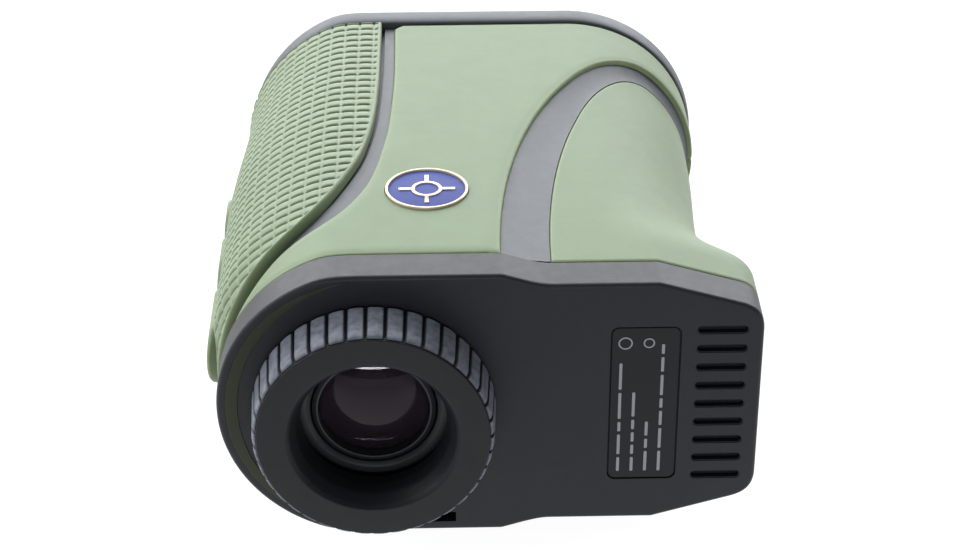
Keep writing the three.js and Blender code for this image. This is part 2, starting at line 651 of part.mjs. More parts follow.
// ---- battery, its tube and the hinged door
function alongX(r, x0, x1, y, sides = 24) {
  const geometry = new THREE.CylinderGeometry(r, r, x1 - x0, sides);
  geometry.rotateZ(Math.PI / 2);
  geometry.translate((x0 + x1) / 2, y, 0);
  return toSolid(geometry);
}
const cell = join(
  alongX(BATTERY.r, BATTERY.x0, BATTERY.x1 - 0.9, BATTERY.y, 32),
  alongX(2.8, BATTERY.x0 + 1, BATTERY.x1, BATTERY.y),
);
add("battery", cell, "battery");
const tubeR = BATTERY.r + GAP;
add(
  "battery_tube",
  cut(alongX(tubeR + 0.9, 19, 46.5, BATTERY.y, 32), alongX(tubeR, 19.9, 60, BATTERY.y, 32)),
  "cover",
);
add("inner_contact", alongX(5, 20.2, 20.7, BATTERY.y), "brass");

const doorBox = (shrink, x0, x1) =>
  box(x0, x1, DOOR.y0 + shrink, DOOR.y1 - shrink, -DOOR.half + shrink, DOOR.half - shrink);
const plug = palmCover(0, -RECESS - 0.5, -RECESS - 1.9).intersect(doorBox(1.6, 40, 60));
const barrel = join(
  pin(DOOR.barrel, -DOOR.knuckle, DOOR.knuckle, DOOR.pinX, DOOR.pinY, 16),
  box(DOOR.pinX - 0.5, DOOR.pinX + 1.45, DOOR.y1 - 2.2, DOOR.pinY, -DOOR.knuckle, DOOR.knuckle),
);
const door = cut(
  join(palm.intersect(doorBox(0, 40, 60)), plug, barrel),
  pin(0.95, -20, 20, DOOR.pinX, DOOR.pinY),
  box(40, 60, 8.9, 15.2, -3.8, 3.8),
);
add("battery_door", door, "armour");
add("hinge_pin", pin(0.85, -DOOR.knuckle - 3, DOOR.knuckle + 3, DOOR.pinX, DOOR.pinY), "steel");
const latch = join(
  palm.intersect(box(40, 60, 9.2, 12.4, -3.5, 3.5)),
  box(49.8, 53.6, 9.9, 11.9, -2.6, 2.6),
  box(49.6, 50.4, 7.4, 11.9, -2.6, 2.6),
);
add("door_latch", latch, "cover");

// The origin is the middle of the footprint, on the table.
group.position.set(
  (BUTTON_TOP - (FOOT_X - RECESS)) / 2,
  -(EYECUP.y + FRONT) / 2,
  HALF_WIDTH + BEZEL_PROUD,
);

export default group;
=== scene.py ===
"""Laser rangefinder: the detailed pieces, their materials, the lights and the camera.

The pieces are drawn in millimetres in the optical axes of the CAD source: the eyepiece axis is
x = 0, z = 0; the rear face is y = 0; +Y is the line of sight; the keys are at -X, the foot at +X.
"""
import json
import math
import random

import bmesh
import bpy
import numpy as np
from mathutils import Euler, Matrix, Vector, kdtree


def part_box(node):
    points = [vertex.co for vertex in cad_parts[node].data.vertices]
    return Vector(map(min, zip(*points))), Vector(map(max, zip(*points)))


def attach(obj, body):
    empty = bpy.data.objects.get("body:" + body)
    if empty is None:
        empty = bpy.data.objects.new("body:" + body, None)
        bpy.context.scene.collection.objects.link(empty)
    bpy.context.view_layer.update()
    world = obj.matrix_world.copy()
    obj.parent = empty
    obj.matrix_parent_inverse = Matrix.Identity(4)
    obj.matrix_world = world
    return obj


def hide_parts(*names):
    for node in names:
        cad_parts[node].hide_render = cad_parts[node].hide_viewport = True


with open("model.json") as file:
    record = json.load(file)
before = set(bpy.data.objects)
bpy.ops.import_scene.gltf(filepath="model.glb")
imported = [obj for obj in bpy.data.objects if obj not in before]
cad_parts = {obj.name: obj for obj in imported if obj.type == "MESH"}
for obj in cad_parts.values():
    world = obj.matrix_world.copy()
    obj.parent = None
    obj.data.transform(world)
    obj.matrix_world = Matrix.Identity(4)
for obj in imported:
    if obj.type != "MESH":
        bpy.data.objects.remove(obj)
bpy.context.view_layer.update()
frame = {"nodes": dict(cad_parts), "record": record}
nodes = frame["nodes"]

lens_lo, lens_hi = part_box("eye_lens")
axis = (lens_lo + lens_hi) / 2
ORIGIN = np.array([round(axis.x, 4), round(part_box("rear_cover")[0].y, 5), round(axis.z, 4)])

# ---- driving dimensions, mm
HALF_WIDTH = 21.5
CROWN_R = 22.2
HEEL_X = 31.0
LASER_X = 31.5
REAR_CAP = 6.2  # depth of the rear cover
BEZEL_START = 82.4  # rear edge of the front frame
FRONT = 86.6
FOOT_X = 56.2
WAIST_X = 51.2
NOSE_X = 52.5
RECESS = 1.7
BAND_DEPTH = 0.8
ARMOUR = 1.2
GRIP_PROUD = 0.5
GRIP_SWELL = 1.3  # extra height of the grip over the crown
GRIP_TAPER = 1.6  # how much of it is lost towards the front frame
REAR_TUCK = 1.0  # taken off the grip over the crown at its rear edge
BEZEL_PROUD = 0.5
BEZEL_DIP = 0.65  # taken off the front frame over the crown
WALL = 1.5
GAP = 0.3
SEAM = 0.05  # gap round the side armour and the palm panel, which fill their recesses
RECESS_U = 47.5  # around the body to the middle of the finger recess
RECESS_Y = 6.0
OUTER_ARCH = (29.5, 67.2)  # reach around the body and length along it
INNER_ARCH = (22.5, 64.0)
U_CROWN = -CROWN_R * math.pi / 2
U_HEEL = HEEL_X + HALF_WIDTH * math.pi / 2
# Outlines of the grip and of the side armour next to it, as (u, y): around the body and along it.
GRIP_EDGE = [
    (U_CROWN, 7.8), (-27, 9.2), (-18.4, 12.7), (-8.9, 19.5), (-3, 32), (-0.6, 44), (0.4, 62), (0.5, 82),
]
ARMOUR_EDGE = [
    (-24.6, 6.5), (-20.4, 8.8), (-14.2, 12.6), (-6.6, 16.6), (-1.6, 25), (1.3, 39), (2.6, 58), (2.7, 82),
]


# ---- body surface
def smooth(t):
    t = np.clip(t, 0, 1)
    return t * t * (3 - 2 * t)


def mix(a, b, w):
    return a + (b - a) * w


def foot_outline():
    """Lower end of the section at the rear face, as arc-length samples of (x, z)."""
    s = np.linspace(0, 1, 60)[:, None]
    corner, control, side = np.array([[51.6, 18.1], [FOOT_X, 16.8], [FOOT_X, 12.0]])
    bend = (1 - s) ** 2 * corner + 2 * s * (1 - s) * control + s**2 * side
    points = np.vstack([[[HEEL_X, HALF_WIDTH], [40, HALF_WIDTH]], bend, [[FOOT_X, 0]]])
    run = np.concatenate([[0], np.cumsum(np.hypot(*np.diff(points, axis=0).T))])
    return run / run[-1], points[:, 0], points[:, 1]


FOOT_RUN, FOOT_OUT_X, FOOT_OUT_Z = foot_outline()


def foot_share(y):
    """How much of the foot's section is left: all of it at the rear, none by the front third."""
    return (1 - smooth((y - 40) / 25)) / (1 + (np.maximum(0, y - 11) / 9) ** 2.5)


def half_section(u, y):
    crown = np.minimum(-np.minimum(u, 0) / CROWN_R, math.pi / 2)
    rise = CROWN_R * np.cos(crown)
    blend = np.maximum(0.8 - np.abs(rise - HALF_WIDTH), 0) / 0.8
    top = np.minimum(rise, HALF_WIDTH) - blend**2 * 0.2 * (u < 0)
    t = np.clip((u - HEEL_X) / (U_HEEL - HEEL_X), 0, 1)
    reach = mix(WAIST_X, NOSE_X, smooth((y - 36) / 28)) - HEEL_X
    w = foot_share(y)
    low_x = mix(HEEL_X + reach * np.sin(t * math.pi / 2), np.interp(t, FOOT_RUN, FOOT_OUT_X), w)
    low_z = mix(HALF_WIDTH * np.cos(t * math.pi / 2), np.interp(t, FOOT_RUN, FOOT_OUT_Z), w)
    x = np.where(u <= 0, -CROWN_R * np.sin(crown), np.where(u <= HEEL_X, u, low_x))
    z = np.where(u <= 0, top, np.where(u <= HEEL_X, HALF_WIDTH, low_z))
    return x, z


def section(u, y):
    far = (u > U_HEEL) | (u < U_CROWN)
    near = np.where(u > U_HEEL, 2 * U_HEEL - u, np.where(u < U_CROWN, 2 * U_CROWN - u, u))
    x, z = half_section(near, y)
    return x, np.where(far, -z, z)


def on_body(u, y, offset):
    """Points of the body surface at unrolled (u, y), moved outwards by offset."""
    u, y, offset = np.broadcast_arrays(np.asarray(u, float), np.asarray(y, float), offset)
    x, z = section(u, y)
    xa, za = section(u - 0.6, y)
    xb, zb = section(u + 0.6, y)
    length = np.hypot(xb - xa, zb - za)
    return np.stack([x - (zb - za) / length * offset, y, z + (xb - xa) / length * offset], -1)


def recessed(u, y):
    across = np.maximum(0, RECESS_U - np.where(u > U_HEEL, 2 * U_HEEL - u, u))
    outer, inner = (
        np.hypot(across / reach, (y - RECESS_Y) / length) for reach, length in (OUTER_ARCH, INNER_ARCH)
    )
    ramp = np.sin(np.clip((1 - outer) / np.maximum(1e-9, inner - outer), 0, 1) * math.pi / 2)
    return np.where(outer >= 1, 0, np.where(inner <= 1, 1, ramp))


def crownward(u):
    """0 on the flat sides, rising to 1 over the crown."""
    near = np.where(u > U_HEEL, 2 * U_HEEL - u, u)
    near = np.maximum(near, 2 * U_CROWN - near)
    return smooth((-near - 4) / 22)


def grip_level(u, y):
    swell = (GRIP_SWELL - GRIP_TAPER * smooth((y - 46) / 32)) * smooth((y - 3) / 11)
    tuck = REAR_TUCK * (1 - smooth((y - 8) / 7))
    return GRIP_PROUD + (swell - tuck) * crownward(u)


def curve(points, count=60):
    """Centripetal Catmull-Rom curve through (u, y) points, as a function of arc length."""
    p = np.array(points, float)
    p = np.vstack([2 * p[0] - p[1], p, 2 * p[-1] - p[-2]])
    s = np.linspace(0, 1, count)[:, None]
    pieces = []
    for a, b, c, d in zip(p, p[1:], p[2:], p[3:]):
        ab, bc, cd = (math.sqrt(np.hypot(*(q - r))) for q, r in ((b, a), (c, b), (d, c)))
        m0 = ((b - a) / ab - (c - a) / (ab + bc) + (c - b) / bc) * bc
        m1 = ((c - b) / bc - (d - b) / (bc + cd) + (d - c) / cd) * bc
        pieces.append(
            b * (2 * s**3 - 3 * s**2 + 1) + m0 * (s**3 - 2 * s**2 + s)
            + c * (3 * s**2 - 2 * s**3) + m1 * (s**3 - s**2)
        )
    path = np.vstack(pieces)
    run = np.concatenate([[0], np.cumsum(np.hypot(*np.diff(path, axis=0).T))])
    return lambda t: (np.interp(t, run / run[-1], path[:, 0]), np.interp(t, run / run[-1], path[:, 1]))


def fillet(distance, radius):
    """Drop below the top of a rounded edge at a distance in from it."""
    d = np.clip(distance, 0, radius)
    return np.sqrt(np.maximum(0, radius**2 - (radius - d) ** 2)) - radius


def distances(u, y, outline):
    """Distance from each (u, y) to a closed outline, sampled every 0.05 mm."""
    loop = np.vstack([outline, outline[:1]])
    steps = np.maximum(1, np.ceil(np.hypot(*np.diff(loop, axis=0).T) / 0.05)).astype(int)
    dense = np.vstack([
        a + (b - a) * np.linspace(0, 1, n, endpoint=False)[:, None]
        for a, b, n in zip(loop, loop[1:], steps)
    ])
    tree = kdtree.KDTree(len(dense))
    for k, (a, b) in enumerate(dense):
        tree.insert((a, b, 0), k)
    tree.balance()
    found = [tree.find((a, b, 0))[2] for a, b in zip(u.ravel(), y.ravel())]
    return np.array(found).reshape(u.shape)


# ---- meshes
def add_object(name, data):
    obj = bpy.data.objects.new(name, data)
    bpy.context.scene.collection.objects.link(obj)
    return obj


def build(name, points, faces, rim=None, sharp=35):
    """An object from points in millimetres, with outward normals and smooth shading up to the sharp angle."""
    mesh = bpy.data.meshes.new(name)
    mesh.from_pydata((ORIGIN + np.asarray(points) / 1000).tolist(), [], faces)
    if rim is not None:
        mesh.attributes.new("rim", "FLOAT", "POINT").data.foreach_set("value", np.asarray(rim, np.float32))
    bm = bmesh.new()
    bm.from_mesh(mesh)
    bmesh.ops.remove_doubles(bm, verts=bm.verts, dist=1e-7)
    bmesh.ops.dissolve_degenerate(bm, edges=bm.edges, dist=1e-8)
    bmesh.ops.recalc_face_normals(bm, faces=bm.faces)
    if bm.calc_volume(signed=True) < 0:
        bmesh.ops.reverse_faces(bm, faces=bm.faces)
    bm.to_mesh(mesh)
    bm.free()
    soften(mesh, sharp)
    return add_object(name, mesh)


def soften(mesh, sharp):
    mesh.polygons.foreach_set("use_smooth", [True] * len(mesh.polygons))
    mesh.set_sharp_from_angle(angle=math.radians(sharp))
    mesh.update()


def boolean(obj, operation, tools, sharp=35):
    """Cuts the tools from obj, or joins or intersects them, and removes the tools."""
    for tool in tools:
        change = obj.modifiers.new("change", "BOOLEAN")
        change.operation = operation
        change.solver = "MANIFOLD"
        change.object = tool
    mesh = bpy.data.meshes.new_from_object(obj.evaluated_get(bpy.context.evaluated_depsgraph_get()))
    obj.modifiers.clear()
    old = obj.data
    obj.data = mesh
    bpy.data.meshes.remove(old)
    mesh.name = obj.name
    for tool in tools:
        bpy.data.objects.remove(tool)
    soften(mesh, sharp)
    return obj


def cut(obj, *tools, sharp=35):
    return boolean(obj, "DIFFERENCE", tools, sharp)


def grid_faces(rows, columns, start=0, wrap=False):
    """Quads of a grid of points numbered row by row; wrap joins the last column to the first."""
    across = columns if wrap else columns - 1
    return [
        (start + i * columns + j, start + i * columns + (j + 1) % columns,
         start + (i + 1) * columns + (j + 1) % columns, start + (i + 1) * columns + j)
        for i in range(rows - 1) for j in range(across)
    ]


def slab(name, outer, inner, rim=None, sharp=35):
    """A closed slab between two grids of points of the same shape."""
    rows, columns = outer.shape[:2]
    count = rows * columns
    edge = (
        list(range(columns))
        + [i * columns + columns - 1 for i in range(1, rows)]
        + [(rows - 1) * columns + j for j in range(columns - 2, -1, -1)]
        + [i * columns for i in range(rows - 2, 0, -1)]
    )
    faces = grid_faces(rows, columns) + [tuple(reversed(f)) for f in grid_faces(rows, columns, count)]
    faces += [(b, a, a + count, b + count) for a, b in zip(edge, edge[1:] + edge[:1])]
    points = np.vstack([outer.reshape(-1, 3), inner.reshape(-1, 3)])
    values = None if rim is None else np.concatenate([np.ravel(rim), np.ones(count)])
    return build(name, points, faces, values, sharp)


def loft(name, rings, rim=None, sharp=35, closed=False):
    """A body through closed rings of points; its ends are flat, or it closes on itself."""
    rings = np.asarray(rings)
    rows, columns = rings.shape[:2]
    last = (rows - 1) * columns
    points = rings.reshape(-1, 3)
    faces = grid_faces(rows, columns, wrap=True)
    if closed:
        faces += [(last + j, last + (j + 1) % columns, (j + 1) % columns, j) for j in range(columns)]
    else:
        points = np.vstack([points, rings[0].mean(0), rings[-1].mean(0)])
        faces += [((j + 1) % columns, j, rows * columns) for j in range(columns)]
        faces += [(last + j, last + (j + 1) % columns, rows * columns + 1) for j in range(columns)]
        if rim is not None:
            rim = np.append(np.ravel(rim), [0, 0])
    return build(name, points, faces, None if rim is None else np.ravel(rim), sharp)


def turned(name, profile, x=0.0, around=160, sharp=35, upright_at=None):
    """A body of revolution about Y from a (radius, y) profile; radius 0 at both ends closes it.

    With upright_at, its axis is parallel to Z at (x, upright_at), and the profile is (radius, z).
    """
    angle = np.linspace(0, 2 * math.pi, around, endpoint=False)
    solid = profile[0][0] == 0
    body = profile[1:-1] if solid else profile
    rings = []
    for r, along in body:
        across, level = r * np.sin(angle), np.full(around, along)
        ring = [level, across] if upright_at is None else [upright_at + across, level]
        rings.append(np.stack([x + r * np.cos(angle), *ring], -1))
    return loft(name, rings, sharp=sharp, closed=not solid)


def rounded(profile, radius, steps=5):
    """A closed (radius, y) profile with its corners rounded; radius is one value or one per corner."""
    p = np.array(profile, float)
    radii = np.broadcast_to(radius, len(p))
    out = []
    for k, corner in enumerate(p):
        before, after = p[k - 1] - corner, p[(k + 1) % len(p)] - corner
        la, lb = np.hypot(*before), np.hypot(*after)
        a, b = before / la, after / lb
        half = math.acos(float(np.clip(np.dot(a, b), -1, 1))) / 2
        reach = min(radii[k] / max(math.tan(half), 1e-6), la * 0.45, lb * 0.45)
        if reach < 1e-4 or half > math.radians(86):
            out.append(tuple(corner))
            continue
        start, end = corner + a * reach, corner + b * reach
        for s in np.linspace(0, 1, steps):
            out.append(tuple((1 - s) ** 2 * start + 2 * s * (1 - s) * corner + s**2 * end))
    return out


def around_body(count):
    return np.linspace(U_CROWN, 2 * U_HEEL - U_CROWN, count, endpoint=False)


def tube(name, stations, offset, count=360, sharp=35):
    """The body surface lofted along Y at an offset that may depend on (u, y), with flat ends."""
    u = around_body(count)
    return loft(name, [on_body(u, y, offset(u, y)) for y in stations], sharp=sharp)


def box(name, x0, x1, y0, y1, z0, z1):
    corners = [(x, y, z) for x in (x0, x1) for y in (y0, y1) for z in (z0, z1)]
    faces = [(0, 1, 3, 2), (4, 6, 7, 5), (0, 4, 5, 1), (2, 3, 7, 6), (0, 2, 6, 4), (1, 5, 7, 3)]
    return build(name, corners, faces)


def oval(y0, y1, half, inset=0.0, steps=16):
    """Points (along, z) of an oval with straight flanks, drawn in by inset."""
    a = np.linspace(0, math.pi, steps)
    r = half - inset
    top = np.stack([y1 - half + r * np.sin(a), r * np.cos(a)], -1)
    low = np.stack([y0 + half - r * np.sin(a), -r * np.cos(a)], -1)
    return np.vstack([top, low])


def oval_prism(name, x0, x1, y0, y1, half):
    yz = oval(y0, y1, half)
    return loft(name, [np.insert(yz, 0, x, axis=1) for x in (x0, x1)])


def finish_piece(obj, material, body, slot, *replaced):
    obj.data.materials.clear()
    obj.data.materials.append(material)
    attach(obj, body)
    if replaced:
        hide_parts(*replaced)
    return obj


# ---- materials
def node_material(name):
    material = bpy.data.materials.new(name)
    material.use_nodes = True
    tree = material.node_tree
    shader = tree.nodes["Principled BSDF"]
    return material, tree, shader


def set_constants(shader, values):
    for socket, value in values.items():
        shader.inputs[socket].default_value = value


def noise(tree, scale, detail=3.0, stretch=None):
    """A noise value in the object's own coordinates, scale in cycles per metre."""
    coords = tree.nodes.new("ShaderNodeTexCoord").outputs["Object"]
    if stretch:
        mapping = tree.nodes.new("ShaderNodeMapping")
        mapping.inputs["Scale"].default_value = stretch
        tree.links.new(coords, mapping.inputs["Vector"])
        coords = mapping.outputs["Vector"]
    texture = tree.nodes.new("ShaderNodeTexNoise")
    texture.inputs["Scale"].default_value = scale
    texture.inputs["Detail"].default_value = detail
    tree.links.new(coords, texture.inputs["Vector"])
    return texture.outputs["Fac"]


def spread(tree, value, low, high, span=(0.3, 0.7)):
    """Maps a noise value to low..high."""
    node = tree.nodes.new("ShaderNodeMapRange")
    node.inputs["From Min"].default_value, node.inputs["From Max"].default_value = span
    node.inputs["To Min"].default_value, node.inputs["To Max"].default_value = low, high
    tree.links.new(value, node.inputs["Value"])
    return node.outputs["Result"]


def blend_colours(tree, factor, a, b):
    node = tree.nodes.new("ShaderNodeMix")
    node.data_type = "RGBA"
    tree.links.new(factor, node.inputs["Factor"])
    for socket, colour in ((node.inputs["A"], a), (node.inputs["B"], b)):
        if isinstance(colour, bpy.types.NodeSocket):
            tree.links.new(colour, socket)
        else:
            socket.default_value = (*colour, 1)
    return node.outputs["Result"]


def bump(tree, height, strength, distance):
    node = tree.nodes.new("ShaderNodeBump")
    node.inputs["Strength"].default_value = strength
    node.inputs["Distance"].default_value = distance
    tree.links.new(height, node.inputs["Height"])
    return node.outputs["Normal"]


def moulded(name, colour, roughness=0.6, grain=(6000, 0.35, 0.00003), mottle=0.12, sheen=0.0,
            sheen_tint=(1, 1, 1), specular=0.5, painted_highlight=None, metallic=0.0, coat=0.0, streak=None):
    """Moulded, cast or turned material: mottled colour, fine grain, and a paler colour painted as a highlight
    where the rim attribute marks edges and tops.
    """
    material, tree, shader = node_material(name)
    dark = tuple(c * (1 - mottle) for c in colour)
    pale = tuple(min(1, c * (1 + mottle)) for c in colour)
    shade = blend_colours(tree, spread(tree, noise(tree, 220, 4), 0, 1), dark, pale)
    # Painted highlight: the rim attribute, made patchy by noise, blends in the paler highlight colour.
    if painted_highlight:
        edge = tree.nodes.new("ShaderNodeAttribute")
        edge.attribute_name = "rim"
        patchy = tree.nodes.new("ShaderNodeMath")
        patchy.operation = "MULTIPLY"
        tree.links.new(edge.outputs["Fac"], patchy.inputs[0])
        tree.links.new(spread(tree, noise(tree, 900, 3), 0.5, 1.0), patchy.inputs[1])
        shade = blend_colours(tree, patchy.outputs[0], shade, painted_highlight)
    tree.links.new(shade, shader.inputs["Base Color"])
    scale, strength, distance = grain
    fine = noise(tree, scale, 2, streak)
    tree.links.new(spread(tree, noise(tree, scale * 0.13, 3), roughness - 0.025, roughness + 0.025),
                   shader.inputs["Roughness"])
    tree.links.new(bump(tree, fine, strength, distance), shader.inputs["Normal"])
    set_constants(shader, {
        "Metallic": metallic, "Specular IOR Level": specular, "Sheen Weight": sheen, "Sheen Roughness": 0.5,
        "Sheen Tint": (*sheen_tint, 1), "Coat Weight": coat, "Coat Roughness": 0.2,
    })
    return material


def glass(name, colour, tint, clear):
    """Coated optical glass with a tinted reflection and faint dust; clear is how much light passes."""
    material, tree, shader = node_material(name)
    dust = spread(tree, noise(tree, 2500, 4), 0, 0.3, (0.62, 0.8))
    tree.links.new(blend_colours(tree, dust, colour, tuple(min(1, c * 1.1 + 0.01) for c in colour)),
                   shader.inputs["Base Color"])
    tree.links.new(spread(tree, noise(tree, 300, 2), 0.01, 0.03), shader.inputs["Roughness"])
    set_constants(shader, {"IOR": 1.52, "Transmission Weight": clear, "Specular Tint": (*tint, 1)})
    return material


SAGE = (0.165, 0.230, 0.122)
# Paler sage painted on the rubber's rounded edges as a highlight.
HIGHLIGHT_SAGE = (0.235, 0.300, 0.150)
PALE_SAGE = (0.9, 0.95, 0.85)
SKIN = (7000, 0.3, 0.00003)  # grain of rubber and plastic skins: cycles per metre, strength, height
FINE = (9000, 0.2, 0.00001)
ARMOUR_RUBBER = moulded("armour_rubber", SAGE, 0.55, SKIN, 0.03, 0.1, PALE_SAGE, 0.38, HIGHLIGHT_SAGE)
GRIP_RUBBER = moulded("grip_rubber", SAGE, 0.5, SKIN, 0.04, 0.15, PALE_SAGE, 0.45, HIGHLIGHT_SAGE)
# A darker copy of the sage rubber: painted shade on the keys, which are the same green rubber as the armour.
KEY_RUBBER = moulded("key_rubber", (0.11, 0.155, 0.075), 0.5, SKIN, 0.04, 0.1, PALE_SAGE, 0.4, HIGHLIGHT_SAGE)
# The paler colour is a painted highlight on the front frame's rounded front edge.
SHELL_PLASTIC = moulded("shell_plastic", (0.055, 0.061, 0.074), 0.5, (5200, 0.4, 0.00004), 0.03,
                        painted_highlight=(0.09, 0.096, 0.11))
# The paler colour is a painted highlight on the rear cover's rim and the latch's edges.
COVER_PLASTIC = moulded("cover_plastic", (0.0105, 0.012, 0.0165), 0.48, (5200, 0.5, 0.00004), 0.06,
                        specular=0.34, painted_highlight=(0.02, 0.023, 0.03))
ACCENT_RUBBER = moulded("accent_rubber", (0.017, 0.026, 0.011), 0.55, SKIN, 0.08, specular=0.34)
# The pale blue-grey is a painted highlight on the focusing ring's tooth tops.
BLACK_RUBBER = moulded("black_rubber", (0.0075, 0.009, 0.012), 0.5, (4200, 0.55, 0.00005), 0.1, 0.0,
                       specular=0.34, painted_highlight=(0.22, 0.238, 0.29))
LABEL_FILM = moulded("label_film", (0.010, 0.011, 0.0135), 0.42, (8000, 0.2, 0.00002), 0.04, specular=0.25,
                     painted_highlight=(0.02, 0.02, 0.023))
LABEL_INK = moulded("label_ink", (0.30, 0.31, 0.33), 0.5, FINE, 0.04)
ANODISED = moulded("anodised_metal", (0.028, 0.031, 0.036), 0.42, FINE, 0.06, metallic=0.3, streak=(1, 12, 1))
BADGE_GOLD = moulded("badge_gold", (0.74, 0.62, 0.44), 0.4, FINE, 0.04, metallic=0.4)
BADGE_BLUE = moulded("badge_enamel", (0.055, 0.075, 0.30), 0.5, FINE, 0.05, specular=0.12)
STEEL = moulded("bright_steel", (0.55, 0.55, 0.56), 0.3, SKIN, 0.06, metallic=1, streak=(1, 1, 14))
BRASS = moulded("plain_brass", (0.60, 0.44, 0.18), 0.3, SKIN, 0.08, metallic=1, streak=(1, 1, 14))
BOARD = moulded("solder_mask", (0.012, 0.105, 0.035), 0.4, (3000, 0.4, 0.00003), 0.2, coat=0.3)
CHIP = moulded("moulded_epoxy", (0.012, 0.012, 0.013), 0.5, (9000, 0.4, 0.00002), 0.15)
CELL_WRAP = moulded("cell_wrap", (0.30, 0.31, 0.34), 0.3, (5000, 0.2, 0.00001), 0.06, metallic=0.6)
COATED_GLASS = glass("coated_glass", (0.15, 0.11, 0.15), (0.40, 0.37, 0.40), 0.9)
# Opaque near-black glass for the field lens: painted shade standing in for the dark inside of the eyepiece
# seen through the eye lens.
FIELD_GLASS = glass("field_glass", (0.010, 0.007, 0.010), (0.62, 0.40, 0.50), 0.0)
CLEAR_GLASS = glass("prism_glass", (0.45, 0.52, 0.56), (1, 1, 1), 0.3)

# The CAD nodes' finishes, by the record's material slots.
CARRIED = {
    "coated_glass": COATED_GLASS,
    "clear_glass": CLEAR_GLASS,
    "steel": STEEL,
    "brass": BRASS,
    "board": BOARD,
    "chip": CHIP,
    "black_metal": ANODISED,
    "battery": CELL_WRAP,
    "cover": COVER_PLASTIC,
    "shell": SHELL_PLASTIC,
    "armour": ARMOUR_RUBBER,
    "soft_rubber": BLACK_RUBBER,
    "label": LABEL_FILM,
    "badge_blue": BADGE_BLUE,
    "badge_gold": BADGE_GOLD,
}
for part in frame["record"]["subparts"]:
    data = nodes[part["node"]].data
    data.materials.clear()
    data.materials.append(FIELD_GLASS if part["node"] == "field_lens" else CARRIED[part["material_slot"]])


# ---- armour
EDGE_LINES = np.array([0, 0.03, 0.08, 0.15, 0.24, 0.35, 0.55, 0.8, 1.1, 1.5])  # mm in from an edge
ROLL_WIDTH = 1.5  # the armour's top falls away over this width before its small edge radius


def graded(length, count):
    """Fractions 0..1 across a length, packed near both ends; one row for each length."""
    near = EDGE_LINES / np.atleast_1d(length)[:, None]
    start, end = near[:, -1:], 1 - near[:, -1:]
    middle = start + (end - start) * np.linspace(0, 1, count)[None, 1:-1]
    return np.hstack([near, middle, 1 - near[:, ::-1]])


def skin(name, edge_a, edge_b, count, across, top, thickness, radius=0.35, roll=0.0):
    """A slab of armour with rounded edges, on the body between two edges: functions of t giving (u, y)."""
    t = graded(100, count)[0]
    ua, ya = (np.asarray(c) for c in edge_a(t))
    ub, yb = (np.asarray(c) for c in edge_b(t))
    s = graded(np.hypot(ub - ua, yb - ya), across)
    u = mix(ua[:, None], ub[:, None], s)
    y = mix(ya[:, None], yb[:, None], s)
    outline = np.stack([
        np.concatenate([u[0], u[1:, -1], u[-1, -2::-1], u[-2:0:-1, 0]]),
        np.concatenate([y[0], y[1:, -1], y[-1, -2::-1], y[-2:0:-1, 0]]),
    ], -1)
    inwards = distances(u, y, outline)
    level = top - roll * (1 - smooth(inwards / ROLL_WIDTH))
    outer = on_body(u, y, level + fillet(inwards, radius) if radius else level)
    # The rim values mark a painted highlight along the slab's rounded edges.
    return slab(name, outer, on_body(u, y, top - thickness), np.exp(-((inwards / 0.45) ** 2)))


def arch(angle, shape, grow, rear):
    """Points (u, y) of a half ellipse over the finger recess, cut off at the rear."""
    reach, length = shape
    return (RECESS_U - (reach + grow) * np.cos(angle),
            np.maximum(rear, RECESS_Y + (length + grow) * np.sin(angle)))


def side_armour(name, grow=0.0, top=0.0, thickness=ARMOUR, radius=0.35, roll=0.0, count=150, across=64):
    """The smooth armour between the grip and the finger recess, or its pocket when it is grown."""
    front = BEZEL_START - SEAM + grow
    rear = REAR_CAP + GAP - grow
    left = curve(ARMOUR_EDGE)
    turn, corner, abreast = 11 / 18, 15 / 18, 0.88

    def edge_a(t):
        u, y = left(np.where(t < turn, abreast * (t / turn) ** 0.8, mix(abreast, 1, (t - turn) / (1 - turn))))
        snub = 1.3 * smooth((y - front + 1.9) / 1.8)
        return u + snub - 1.4 * grow, np.clip(y + mix(-grow, grow, np.minimum(1, 18 * t)), rear, front)

    def edge_b(t):
        u, y = arch(np.minimum(t / turn, 1) * math.pi / 2, OUTER_ARCH, -grow, rear)
        flat = RECESS_Y + OUTER_ARCH[1] - grow
        across_u = mix(RECESS_U, U_HEEL - 0.05, np.clip((t - turn) / (corner - turn), 0, 1))
        up_y = mix(flat, front, np.clip((t - corner) / (1 - corner), 0, 1))
        return np.where(t < turn, u, across_u), np.where(t < turn, y, up_y)

    return skin(name, edge_a, edge_b, count, across, top, thickness, radius, roll)


def palm_panel(name, grow=0.0, top=-RECESS, thickness=ARMOUR, radius=0.3, count=110, across=120):
    """The smooth cover of the finger recess and the foot, or its pocket when it is grown."""
    def edge(t):
        return arch(t * math.pi / 2, INNER_ARCH, grow, REAR_CAP + GAP - grow)

    def far(t):
        u, y = edge(t)
        return 2 * U_HEEL - u, y

    return skin(name, edge, far, count, across, top, thickness, radius)


def mirrored(obj):
    """The piece's mirror image in the mid-plane, in place."""
    lift = Matrix.Translation((0, 0, ORIGIN[2]))
    obj.data.transform(lift @ Matrix.Diagonal((1, 1, -1, 1)) @ lift.inverted())
    obj.data.flip_normals()
    return obj


